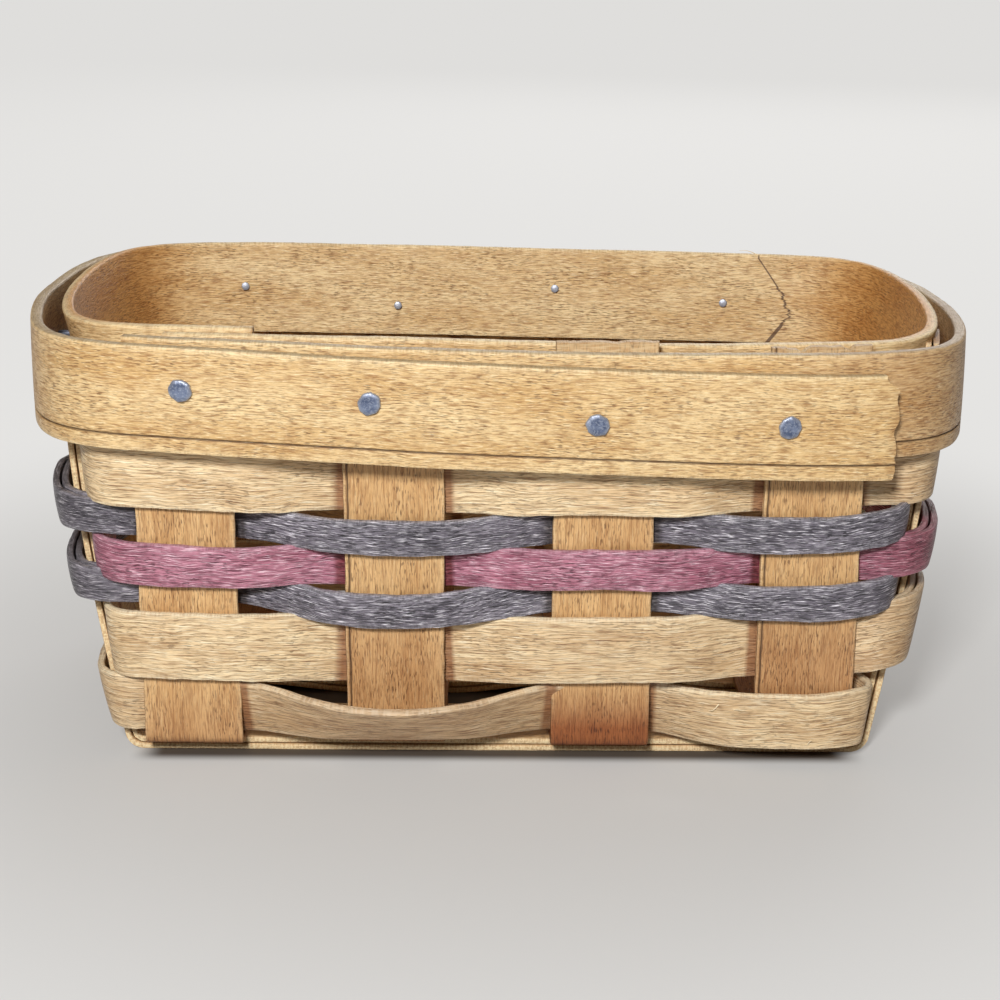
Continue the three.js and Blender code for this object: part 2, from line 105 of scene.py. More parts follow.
# Rim
RIM_DROP = 8.4
RIM_LEVEL = HEIGHT - RIM_DROP
OUTER_RISE = 2.45
OUTER_FALL = 3.3
FALL_EASE = 0.1
FRONT_LIFT = 0.5
LEFT_LIFT = 0.8
LEFT_LIFT_BEFORE = 0.3
LEFT_LIFT_SPREAD = 0.75
INNER_RISE = 1.95
INNER_DIP = 1.1
DIP_START = 0.5
INNER_LIFT = 0.45
END_SPREAD = 0.55
END_TIGHT = 2.1
END_TILT = math.radians(10)
WEAVER_ROOM = 0.4
BAND_LAP_PARTS = (0.85, 0.35)
BAND_TAIL = 0.45
OUTER_TAIL = 0.6
INNER_TAIL = 0.6
BAND_SOFTNESS = 6.0
BAND_CORNER = 0.3
BAND_EDGE_WANDER = 0.07
OUTER_CROWN = 0.08
INNER_CROWN = -0.06
INNER_START = 2.4
INNER_END = 8.2
OUTER_END = 8.6
SCORE_HEIGHT = 2.0
SCORE_DEPTH = 0.25
STAKE_SCORE = 0.55
STAKE_SCORE_DEPTH = 0.12
GROOVE_WIDTH = 0.13

# Nails: the profiles are shares of the shank's and the head's radius and of the tip's and the head's length
NAIL_RADIUS = 0.5
HEAD_RADIUS = 1.45
HEAD_THICKNESS = 0.55
HEAD_GAP = 0.1
NAIL_TIP = 0.4
SHANK_RADII = np.array([0.7, 1.1, 1.15, 1.0, 1.0])
SHANK_STEPS = np.array([-0.6, -0.4, 0.6, 1.0])
HEAD_RADII = np.array([0.8, 0.97, 1.0, 0.98, 0.9, 0.6, 0.3])
HEAD_STEPS = np.array([0.0, 0.04, 0.3, 0.6, 0.8, 0.86, 0.88])
HEAD_FLATS = 8
FLAT_DEPTH = 0.75
HEAD_OVAL = 0.035
HEAD_DENTS = 0.02
HEAD_TILT = 0.03
HIGHLIGHT_FROM = 0.8
HEAD_FROM = 1.1
HEAD_SEED = 1.0
HEAD_SEED_STEP = 3.1

# Sideways place and lift of each nail from the middle of its stake end
FRONT_NAILS = [(1.4, 1.4), (-2.3, 1.4), (-1.4, 0.0), (-4.6, 0.5)]
BACK_NAILS = [(-1.0, 1.7), (2.2, -0.4), (4.6, 2.8), (5.4, 1.35)]

# Worn edges and cut ends in millimetres
EDGE_LONG_WAVE = 9
EDGE_SHORT_WAVE = 1.7
EDGE_SHORT_SHARE = 0.4
CUT_EASE = 4
CUT_TOOTH = 1.1
CUT_SHORT_TOOTH = 0.35
CUT_SHORT_SHARE = 0.5
CUT_PLACE = 50
STAKE_CUT = 0.2
STAKE_FAR_CUT = 0.25
FRAYED_CUT = 0.7
FRAYED_TOOTH = 1.9
ROW_CUT = 0.3
OUTER_CUT = 0.2
INNER_START_CUT = 0.15
INNER_END_CUT = 0.1
CHIP_DEPTH = 2.0
CHIP_PLACES = (4.4, 6.4)
SPLINTER_PLACE = 30
SPLINTERS = ((0.3, 1.3), (0.22, 0.45))
FIBRE_PAST_CRACK = 2.2
FIBRE_BELOW_EDGE = 0.6
FIBRE_FOOT = 0.35
FIBRE_RADIUS = 0.075
FIBRE_TAPER = 0.8
FIBRE_BOW = (0.5, 1.3, 1.5)
FIBRE_SLANT = 0.3
FIBRE_SIDES = 6
FIBRE_EDGE = 1.5

# Painted shade, darkening towards the bottom of the stakes, and pale parts: shares of the finish's darkening
# tint, and where they lie in millimetres or in stake ends
FRONT_DIMS = (0.4, 0.25, 1.2, 0.45)
BACK_DIM = 0.4
HELD_DIM_HEIGHTS = (14, 24)
FREE_DIM_HEIGHTS = (2, 13)
TURN_DIM = 0.75
TURN_DIM_HEIGHTS = (2, 4.5)
BESIDE_DIM = 0.95
BESIDE_PLACES = (0.2, 0.23, 0.275, 0.295)
UNDER_PLY_RIGHT_DIM = 0.35
UNDER_PLY_RIGHT_PLACES = (2.6, 3.4, 5, 6)
UNDER_PLY_LEFT_DIM = 0.2
UNDER_PLY_LEFT_PLACES = (11, 12, 13.2, 13.7)
INSIDE_DIM = 1.0
BAND_GAP_SHADE = 0.45
STAKE_TOP_PALE = 1.2
START_PALE_REACH = (4, 7)
PLY_PALE = 1.7
PALE_REACH = 0.3
TIP_REACH = 0.5

# Crack of the inner band: its place in stake ends, and its line as heights and places along the band
CRACK_PLACE = 6.91
CRACK_HEIGHTS = (0.0, 4.0, 5.8, 9.3, 13.6)
CRACK_LINE = (1.9, -1.15, -2.2, -0.4, 2.7)
CRACK_WIDTH = 0.16
CRACK_LOW_EXTRA = 0.14
CRACK_HIGH_LESS = 0.06
CRACK_JAG = 3.6
CRACK_TOOTH = 0.9
JAG_FROM = (3.4, 4.4)
JAG_TO = (9.0, 9.8)
CRACK_TOP = (13.9, 14.3)

# First seed of each kind of strip and its step from strip to strip
CROSS_SEED = 10
CROSS_SEED_STEP = 5
CROSS_CUT_SEED = 70
CROSS_FAR_CUT_SEED = 80
LONG_SEED = 40
LONG_SEED_STEP = 6
LONG_CUT_SEEDS = (50, 60)
ROW_SEED = 91
ROW_SEED_STEP = 10
ROW_CUT_SEEDS = (7, 8)
OUTER_SEED = 161
OUTER_CUT_SEED = 171
INNER_SEED = 181
INNER_CUT_SEEDS = (191, 192)
SPLINTER_SEED = 401
GRAIN_STEP = 37.0
GRAIN_STARTS = 41

# How finely the strips are sampled
STATION_SPACING = 0.55
FACE_COLUMNS = 11
FINE_FACE_COLUMNS = 29
CORNER_COLUMNS = 3
GROOVE_COLUMNS = 9
WAVE_HEIGHTS = 997
EVEN_SAMPLES = 2000
STRAIGHT_SAMPLES = 12
BEND_SAMPLES = 48
WALL_SAMPLES = 90
TURN_SAMPLES = 18
FLOOR_SAMPLES = 260
RING_SAMPLES = 2600
OUTER_SAMPLES = 3000
NAIL_SIDES = 48
FIBRE_STATIONS = 9
SHARP_ANGLE = math.radians(50)
SAME_POINT = 1e-6


def unit(vectors):
    """Vectors divided by their lengths."""
    return vectors / np.linalg.norm(vectors, axis=-1, keepdims=True)


def lengths_along(points):
    """Distance of each point along the line through them."""
    steps = np.linalg.norm(np.diff(points, axis=0), axis=1)
    return np.concatenate([[0.0], np.cumsum(steps)])


def smooth(value, low, high):
    """Smooth step from 0 at low to 1 at high."""
    share = np.clip((value - low) / (high - low), 0, 1)
    return share * share * (3 - 2 * share)


def between(value, low, full_from, full_to, high):
    """Smooth step up from low to full_from, times a smooth step down from full_to to high."""
    return smooth(value, low, full_from) * (1 - smooth(value, full_to, high))


def wander(distance, wavelength, seed):
    """Smooth random wave from -1 to 1: random heights one wavelength apart joined by half cosines."""
    heights = np.random.default_rng(seed).uniform(-1, 1, WAVE_HEIGHTS)
    place = np.asarray(distance, float) / wavelength
    step = np.floor(place).astype(int)
    ease = (1 - np.cos(np.pi * (place - step))) / 2
    return heights[step % WAVE_HEIGHTS] * (1 - ease) + heights[(step + 1) % WAVE_HEIGHTS] * ease


# Stake ends: where each stake stands in the wall

SIDES = {
    "front": (np.array([0.0, -1.0, 0.0]), np.array([1.0, 0.0, 0.0])),
    "right": (np.array([1.0, 0.0, 0.0]), np.array([0.0, 1.0, 0.0])),
    "back": (np.array([0.0, 1.0, 0.0]), np.array([-1.0, 0.0, 0.0])),
    "left": (np.array([-1.0, 0.0, 0.0]), np.array([0.0, -1.0, 0.0])),
}


class StakeEnd:
    """One end of a stake: its middle line leaves the floor at a reach, leans outward, loses the upright
    share of its lean by the rim and turns with the rim."""

    def __init__(self, side, lateral, reach, lean, upright, toe, turn, thickness, bend, top):
        self.side = side
        self.out, self.along = SIDES[side]
        self.lateral = lateral
        self.reach = reach
        self.lean = lean
        self.upright = upright
        self.toe = toe
        self.turn = turn
        self.thickness = thickness
        self.bend = bend
        self.top = top

    def at(self, z):
        """Middle line at height z: out by reach plus a lean that eases off with the square of the height,
        sideways by the lateral drawn in with height."""
        z = np.asarray(z, float)[..., None]
        outward = self.out * (self.reach + self.lean * (z - self.upright * z**3 / (3 * HEIGHT**2)))
        sideways = self.along * self.lateral * (1 - self.toe * z / HEIGHT)
        return outward + sideways + UP * z

    def rise(self, z):
        """Direction up the stake at height z."""
        z = np.asarray(z, float)[..., None]
        outward = self.out * self.lean * (1 - self.upright * (z / HEIGHT) ** 2)
        return unit(outward - self.along * self.lateral * self.toe / HEIGHT + UP)

    def run(self, z):
        """Direction round the basket at height z: the side's direction turned about the upright."""
        angle = self.turn * np.asarray(z, float)[..., None] / HEIGHT
        return self.along * np.cos(angle) + np.cross(UP, self.along) * np.sin(angle)

    def normal(self, z):
        """Outward direction square to the stake."""
        return unit(np.cross(self.run(z), self.rise(z)))


def cross_at(i):
    """Place of cross stake i along the basket."""
    return (i - (CROSS_COUNT - 1) / 2) * CROSS_PITCH


def long_at(k):
    """Place of long stake k from front to back."""
    return (k - (LONG_COUNT - 1) / 2) * LONG_PITCH


def cross_is_over(i, k):
    """Whether cross stake i lies over long stake k: always at the front and back, in turn in the middle."""
    return k in (0, LONG_COUNT - 1) or (i + k) % 2 == 0


LOW_CROSS = STAKE_THICKNESS / 2
HIGH_CROSS = LONG_THICKNESS + FLOOR_GAP + STAKE_THICKNESS / 2
LOW_LONG = LONG_THICKNESS / 2
HIGH_LONG = STAKE_THICKNESS + FLOOR_GAP + LONG_THICKNESS / 2


def cross_end(side, i):
    """End of cross stake i at the front or back: flared, and bowed out in the middle of the side."""
    is_inner = 0 < i < CROSS_COUNT - 1
    is_held_in = i % 2 == 1
    lateral = cross_at(i) if side == "front" else -cross_at(i)
    return StakeEnd(
        side, lateral,
        reach=BASE_WIDTH / 2 - STAKE_THICKNESS / 2,
        lean=FRONT_FLARE + (FRONT_BOW if is_inner else 0),
        upright=0,
        toe=0,
        turn=FRONT_TURN * lateral / cross_at(CROSS_COUNT - 1),
        thickness=STAKE_THICKNESS,
        bend=FLOOR_TURN if is_held_in else FREE_TURN,
        top=FRONT_TOPS[i] if side == "front" else HEIGHT - REAR_DROP)


def long_end(side, k):
    """End of long stake k at the right or left: flared, upright by the rim and drawn in with height."""
    is_inner = 0 < k < LONG_COUNT - 1
    is_proud = side == "right" and k == 0
    lateral = long_at(k) if side == "right" else -long_at(k)
    return StakeEnd(
        side, lateral,
        reach=BASE_LENGTH / 2 - LONG_THICKNESS / 2,
        lean=END_FLARE + (END_BOW if is_inner else 0),
        upright=END_UPRIGHT,
        toe=END_TOE_IN,
        turn=END_TURN * lateral / long_at(LONG_COUNT - 1),
        thickness=LONG_THICKNESS,
        bend=END_BEND,
        top=HEIGHT - REAR_DROP - (0 if is_proud else END_TOP_DROP))


ring = [cross_end("front", i) for i in range(CROSS_COUNT)]
ring += [long_end("right", k) for k in range(LONG_COUNT)]
ring += [cross_end("back", i) for i in reversed(range(CROSS_COUNT))]
ring += [long_end("left", k) for k in reversed(range(LONG_COUNT))]
PLACES = len(ring)
FRONT_1, FRONT_2, FRONT_3, FRONT_4 = range(CROSS_COUNT)
RIGHT_FRONT, RIGHT_MIDDLE, RIGHT_BACK = range(CROSS_COUNT, CROSS_COUNT + LONG_COUNT)
BACK_4, BACK_3, BACK_2, BACK_1 = range(CROSS_COUNT + LONG_COUNT, 2 * CROSS_COUNT + LONG_COUNT)
LEFT_BACK, LEFT_MIDDLE, LEFT_FRONT = range(2 * CROSS_COUNT + LONG_COUNT, PLACES)
at_end = np.array([stand.side in ("left", "right") for stand in ring], float)


def filled(values):
    """One value for each stake end from the few that are given, 0 for the others."""
    row = np.zeros(PLACES)
    for place, value in (values or {}).items():
        row[place] = value
    return row


def at_places(values, phase):
    """Values given at the stake ends, eased by half cosines between them, for an array of phases."""
    values = np.asarray(values, float)
    step = np.floor(phase).astype(int)
    ease = (1 - np.cos(np.pi * (phase - step))) / 2
    return values[step % PLACES] * (1 - ease) + values[(step + 1) % PLACES] * ease


# Paths

class Path:
    """Middle line of a strip with the direction of its width; the normal is along crossed with across."""

    def __init__(self, points, across):
        steps = np.linalg.norm(np.diff(points, axis=0), axis=1)
        self.keep = np.concatenate([[True], steps > SAME_POINT])
        self.points = points[self.keep]
        self.length = lengths_along(self.points)
        along = unit(np.gradient(self.points, self.length, axis=0))
        across = across[self.keep]
        self.across = unit(across - along * np.sum(across * along, axis=1, keepdims=True))
        self.normal = np.cross(along, self.across)

    def at(self, distance, field):
        """A field of the path read off at distances along it."""
        flat = np.ravel(distance)
        columns = [np.interp(flat, self.length, field[:, axis]) for axis in range(3)]
        return np.stack(columns, axis=-1).reshape(*np.shape(distance), 3)

    def moved(self, offset):
        """The same path moved along its normal."""
        return Path(self.points + self.normal * offset, self.across)


def softened(points, spread):
    """A line with its corners eased: each point is the mean of its neighbours along the line, weighted by
    a bell curve of the distance."""
    length = lengths_along(points)
    even = np.linspace(0, length[-1], EVEN_SAMPLES)
    reach = int(3 * spread / even[1])
    weights = np.exp(-0.5 * (np.arange(-reach, reach + 1) * even[1] / spread) ** 2)
    weights /= np.sum(weights)
    columns = []
    for axis in range(3):
        column = np.interp(even, length, points[:, axis])
        column = np.pad(column, reach, mode="reflect", reflect_type="odd")
        columns.append(np.interp(length, even, np.convolve(column, weights, mode="valid")))
    return np.stack(columns, axis=1)


def ring_curve(z):
    """Closed middle line of the wall at height z: straight past each stake end, then a cubic Bezier to
    the next one. Returns the phase, which counts stake ends, with the points and the rise directions."""
    phases, points, rises = [], [], []
    half = STAKE_WIDTH / 2 + EDGE_MARGIN
    straight = np.linspace(0, 1, STRAIGHT_SAMPLES)[:, None]
    t = np.linspace(0, 1, BEND_SAMPLES)[1:-1, None]
    for n, stand in enumerate(ring):
        ahead = ring[(n + 1) % PLACES]
        begin = stand.at(z) + stand.run(z) * half
        finish = ahead.at(z) - ahead.run(z) * half
        handle = HANDLE * np.linalg.norm(finish - begin)
        first = begin + stand.run(z) * handle
        second = finish - ahead.run(z) * handle
        bend = (1 - t) ** 3 * begin + 3 * (1 - t) ** 2 * t * first
        bend = bend + 3 * (1 - t) * t**2 * second + t**3 * finish
        leaving = stand.at(z) + stand.run(z) * half * straight
        arriving = finish + ahead.run(z) * half * straight
        stretch = np.concatenate([leaving, bend, arriving])
        length = lengths_along(stretch)
        share = length / length[-1]
        ease = smooth(share, 0, 1)[:, None]
        phases.append(n + share[:-1])
        points.append(stretch[:-1])
        rises.append(unit(stand.rise(z) * (1 - ease) + ahead.rise(z) * ease)[:-1])
    return np.concatenate(phases), np.concatenate(points), np.concatenate(rises)


def ring_frame(z, phase):
    """Point, outward normal and rise of the wall's middle line at height z for an array of phases."""
    phases, points, rises = ring_curve(z)
    base = np.stack([np.interp(phase, phases, points[:, a], period=PLACES) for a in range(3)], axis=1)
    rise = np.stack([np.interp(phase, phases, rises[:, a], period=PLACES) for a in range(3)], axis=1)
    rise = unit(rise)
    along = unit(np.gradient(base, axis=0))
    return base, unit(np.cross(along, rise)), rise


def wall_path(stand, level):
    """Half of a stake: from its top down the wall and round an arc to the floor level."""
    radius = stand.bend + stand.thickness / 2
    tilt = math.atan(stand.lean)
    centre = stand.reach + stand.lean * (level + radius) - radius / math.cos(tilt)
    sense = 1 if stand.side in ("front", "right") else -1
    wall_z = np.linspace(stand.top, level + radius - radius * math.sin(tilt), WALL_SAMPLES)[:-1]
    angle = np.linspace(-tilt, -math.pi / 2, TURN_SAMPLES)
    turn_z = level + radius + radius * np.sin(angle)
    turn = stand.at(turn_z)
    turn += stand.out * (centre + radius * np.cos(angle) - turn @ stand.out)[:, None]
    points = np.concatenate([stand.at(wall_z), turn])
    return points, stand.run(np.concatenate([wall_z, turn_z])) * sense


def floor_heights(places, crossings):
    """Heights along the floor: flat over each crossing, smooth steps between them."""
    half = STAKE_WIDTH / 2 + FLOOR_MARGIN
    heights = np.full_like(places, crossings[0][1])
    for (a, low), (b, high) in zip(crossings, crossings[1:]):
        heights += (high - low) * smooth(places, a + half, b - half)
    return heights


def stake_path(first, last, crossings, make, across):
    """Whole stake: down one wall, along the floor over and under what it crosses, and up the other wall."""
    half = STAKE_WIDTH / 2 + FLOOR_MARGIN
    near, near_across = wall_path(first, crossings[0][1])
    far, far_across = wall_path(last, crossings[-1][1])
    places = np.linspace(crossings[0][0] - half, crossings[-1][0] + half, FLOOR_SAMPLES)
    floor = make(places, floor_heights(places, crossings))
    points = np.concatenate([near, floor, far[::-1]])
    widths = np.concatenate([near_across, np.tile(across, (len(floor), 1)), far_across[::-1]])
    return Path(points, widths)


# Surfaces

left_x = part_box("cross_stake_1")[0].x
right_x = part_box("cross_stake_4")[1].x
front_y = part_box("long_stake_front_outer")[0].y
back_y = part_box("long_stake_back_outer")[1].y
SHIFT = np.array([(left_x + right_x) / 2, (front_y + back_y) / 2, 0.0]) / MM


def make_piece(name, vertices, faces, loop_uv, attributes):
    """Mesh object from arrays in millimetres, with strip coordinates in metres and one value per vertex
    for each attribute."""
    mesh = bpy.data.meshes.new(name)
    mesh.from_pydata(((vertices + SHIFT) * MM).tolist(), [], faces)
    strip = mesh.uv_layers.new(name="Strip")
    strip.data.foreach_set("uv", np.ravel(loop_uv * MM).astype(np.float32))
    for key, values in attributes.items():
        layer = mesh.attributes.new(key, "FLOAT", "POINT")
        layer.data.foreach_set("value", np.ravel(values).astype(np.float32))
    mesh.polygons.foreach_set("use_smooth", np.ones(len(mesh.polygons), bool))
    mesh.set_sharp_from_angle(angle=SHARP_ANGLE)
    mesh.update()
    piece = bpy.data.objects.new(name, mesh)
    bpy.context.scene.collection.objects.link(piece)
    return piece


def tube_faces(rows, columns):
    """Quads between the rows of a grid whose columns close into a ring, with the grid's vertex numbers and
    the numbers one column on."""
    index = np.arange(rows * columns).reshape(rows, columns)
    after = np.roll(index, -1, axis=1)
    walls = np.stack([index[:-1], after[:-1], after[1:], index[1:]], axis=-1).reshape(-1, 4)
    return walls, index, after


def section(marks, face_columns):
    """Rounded rectangle walked along its under side and back along its upper side, with more columns at
    the marks. Three rows: place of the straight part across from -1 to 1, then the sideways and upward
    parts of the rounded corner."""
    left = np.linspace(math.pi, 1.5 * math.pi, CORNER_COLUMNS)
    right = np.linspace(1.5 * math.pi, 2 * math.pi, CORNER_COLUMNS)
    face = np.sin(np.linspace(-math.pi / 2, math.pi / 2, face_columns + 2))[1:-1]
    face = np.unique(np.concatenate([face, marks]))
    ones = np.ones(CORNER_COLUMNS)
    core = np.concatenate([-ones, face, ones])
    side = np.concatenate([np.cos(left), np.zeros(len(face)), np.cos(right)])
    rise = np.concatenate([np.sin(left), -np.ones(len(face)), np.sin(right)])
    core = np.concatenate([core, core[::-1]])
    side = np.concatenate([side, side[::-1]])
    return core, side, np.concatenate([rise, -rise[::-1]])


def strip_start(seed):
    """Place of a strip's start in the grain, so that no two strips show the same part of it."""
    return GRAIN_STEP * (seed % GRAIN_STARTS)


def worn_edge(stations, half, depth, seed):
    """Distance of an edge from the middle line: half the width with a long and a short random wave."""
    edge = half + depth * wander(stations, EDGE_LONG_WAVE, seed)
    return edge + EDGE_SHORT_SHARE * depth * wander(stations, EDGE_SHORT_WAVE, seed + 1)


def strip_coordinates(along, across, height, girth, beyond, caps):
    """Strip coordinates of every face corner: the distance along and the girth round the walls, then the
    height and the place across on the two ends."""
    along_next = np.roll(along, -1, axis=1)
    here = np.broadcast_to(girth, along.shape)
    there = np.broadcast_to(beyond, along.shape)
    wall_u = np.stack([along[:-1], along_next[:-1], along_next[1:], along[1:]], axis=-1)
    wall_v = np.stack([here[:-1], there[:-1], there[1:], here[1:]], axis=-1)
    wall_uv = np.stack([wall_u, wall_v], axis=-1).reshape(-1, 2)
    corners = caps.ravel()
    cap_uv = np.stack([(along + height).ravel()[corners], across.ravel()[corners]], axis=-1)
    return np.concatenate([wall_uv, cap_uv])


def splint(name, path, width, thickness, seed, span=None, corner=0.22, crown=0.0, edge_wander=0.12,
           start_cut=None, end_cut=None, groove=None, shade=None, face_columns=FACE_COLUMNS,
           pale=1.0, gap_shade=0.0, start_pale=0.0, is_inside_shaded=False):
    """Strip: the rounded section carried along the path between the two distances of span. The left and
    right edges wander, the upper face is crowned by one minus the square of the place across, a groove
    is pressed in at a distance from the left edge, and the cut ends are moved along by functions of the
    place across."""
    low, high = span if span else (0.0, path.length[-1])
    count = int((high - low) / STATION_SPACING) + 2
    groove_place, groove_depth = groove or (0.0, 0.0)
    marks = groove_place + GROOVE_WIDTH * np.linspace(-2, 2, GROOVE_COLUMNS) if groove else np.array([])
    core, side, rise = section((marks - width / 2) / (width / 2 - corner), face_columns)
    columns = len(core)
    stations = np.linspace(low, high, count)[:, None]
    left = worn_edge(stations, width / 2, edge_wander, seed)
    right = worn_edge(stations, width / 2, edge_wander, seed + 2)
    edge_place = np.where(core < 0, left, right)
    across = core * (edge_place - corner) + side * corner
    height = np.sign(rise) * (thickness / 2 - corner) + rise * corner + 0 * stations
    height = height + crown * (1 - core**2)
    from_left = (core + 1) * (width / 2 - corner) + corner
    score_and_gap_shade = np.where(rise > 0, 1, 0) * np.exp(-(((from_left - groove_place) / GROOVE_WIDTH) ** 2))
    score_and_gap_shade = score_and_gap_shade * (1.0 if groove else 0.0) + 0 * stations
    height = height - groove_depth * score_and_gap_shade
    # Painted shade along one long edge, in the gap where a band's plies meet, goes with the score line
    score_and_gap_shade = np.maximum(score_and_gap_shade, gap_shade * ((core == 1) & (rise < 0.5)))
    distance = stations + 0 * across
    if start_cut:
        distance = distance + start_cut(across) * (1 - smooth(stations, low, low + CUT_EASE))
    if end_cut:
        distance = distance + end_cut(across) * smooth(stations, high - CUT_EASE, high)
    surface = path.at(distance, path.points)
    surface += path.at(distance, path.across) * across[..., None]
    surface += path.at(distance, path.normal) * height[..., None]

    walls, index, after = tube_faces(count, columns)
    j = np.arange(columns // 2 - 1)
    first = np.stack([j, columns - 1 - j, columns - 2 - j, j + 1], axis=-1)
    last = index[-1, 0] + np.stack([j, j + 1, columns - 2 - j, columns - 1 - j], axis=-1)
    caps = np.concatenate([first, last])
    faces = np.concatenate([walls, caps]).tolist()
    girth = lengths_along(np.stack([np.mean(across, axis=0), np.mean(height, axis=0)], axis=1))
    beyond = np.append(girth[1:], girth[-1] + thickness)
    along = distance + strip_start(seed)
    loop_uv = strip_coordinates(along, across, height, girth, beyond, caps)

    edge = np.exp(-np.maximum(edge_place - np.abs(across), 0) / PALE_REACH)
    # Paler near the start of the strip, which on a cross stake is its front top end
    near_start = 1 - smooth(distance, low + START_PALE_REACH[0], low + START_PALE_REACH[1])
    edge = np.maximum(edge * pale, start_pale * near_start)
    tip = np.exp(-(distance - low) / TIP_REACH) + np.exp(-(high - distance) / TIP_REACH)
    dim = np.zeros(distance.size)
    if shade is not None:
        dim = np.interp(distance.ravel(), path.length, shade)
    if is_inside_shaded:
        dim = dim * np.tile(rise < 0, count)
    attributes = {"edge": edge, "tip": np.clip(tip, 0, 1), "dim": dim, "score_and_gap_shade": score_and_gap_shade}
    return make_piece(name, surface.reshape(-1, 3), faces, loop_uv, attributes)


def turned(name, radius, distance, origin, direction, seed):
    """Nail: a profile of radius against distance turned about a line, its head beaten out of round by flats
    and a few waves of the angle; the two poles are single points."""
    axis = unit(direction)
    sideways = unit(np.cross(UP, axis))
    upward = np.cross(axis, sideways)
    angle = np.linspace(0, 2 * math.pi, NAIL_SIDES, endpoint=False)
    flat_angle = 2 * math.pi / HEAD_FLATS
    flats = math.cos(flat_angle / 2) / np.cos((angle + seed) % flat_angle - flat_angle / 2)
    dents = FLAT_DEPTH * (flats - 1) + HEAD_OVAL * np.cos(2 * angle + seed)
    dents = dents + HEAD_DENTS * np.cos(5 * angle + 2.3 * seed)
    head = smooth(radius, NAIL_RADIUS * HEAD_FROM, HEAD_RADIUS)[:, None]
    rings = radius[:, None] * (1 + head * dents)
    lift = distance[:, None] + head * HEAD_TILT * np.cos(angle + 1.7 * seed)
    surface = origin + axis * lift[..., None]
    surface = surface + sideways * (rings * np.cos(angle))[..., None]
    surface = surface + upward * (rings * np.sin(angle))[..., None]
    poles = np.stack([origin + axis * distance[0], origin + axis * distance[-1]])
    vertices = np.concatenate([surface.reshape(-1, 3), poles])
    walls, index, after = tube_faces(len(radius), NAIL_SIDES)
    start = np.stack([after[0], index[0], np.full(NAIL_SIDES, len(vertices) - 2)], axis=-1)
    end = np.stack([index[-1], after[-1], np.full(NAIL_SIDES, len(vertices) - 1)], axis=-1)
    faces = walls.tolist() + start.tolist() + end.tolist()
    loops = np.concatenate([walls.ravel(), start.ravel(), end.ravel()])
    local = vertices - origin
    uv = np.stack([local @ sideways, local @ upward], axis=-1)[loops]
    # Painted highlight on the rim of the head and on the tip
    is_tip = distance < distance[0] + 2 * NAIL_TIP
    highlit = np.maximum(smooth(radius, HIGHLIGHT_FROM * HEAD_RADIUS, HEAD_RADIUS), is_tip)
    rim = np.append(np.repeat(highlit, NAIL_SIDES), [1, 0])
    return make_piece(name, vertices, faces, uv, {"edge": rim})


# Finishes

def srgb(red, green, blue):
    """Linear colour of a display colour from 0 to 255."""
    share = np.array([red, green, blue]) / 255
    linear = np.where(share <= 0.04045, share / 12.92, ((share + 0.055) / 1.055) ** 2.4)
    return (*linear.tolist(), 1.0)


class Value:
    """A shader socket that Python operators combine; each operation adds one Math node."""

    def __init__(self, finish, socket):
        self.finish = finish
        self.socket = socket

    def math(self, operation, *values):
        """Math node of one or two values."""
        return self.finish.node("ShaderNodeMath", {"operation": operation}, dict(enumerate(values)))

    def __add__(self, other):
        return self.math("ADD", self, other)

    def __radd__(self, other):
        return self.math("ADD", other, self)

    def __sub__(self, other):
        return self.math("SUBTRACT", self, other)

    def __rsub__(self, other):
        return self.math("SUBTRACT", other, self)

    def __mul__(self, other):
        return self.math("MULTIPLY", self, other)

    def __rmul__(self, other):
        return self.math("MULTIPLY", other, self)

    def __abs__(self):
        return self.math("ABSOLUTE", self)

    def step(self, low, high):
        """Smooth step of this value from 0 at low to 1 at high."""
        settings = {"interpolation_type": "SMOOTHSTEP"}
        sockets = {"Value": self, "From Min": low, "From Max": high}
        return self.finish.node("ShaderNodeMapRange", settings, sockets)


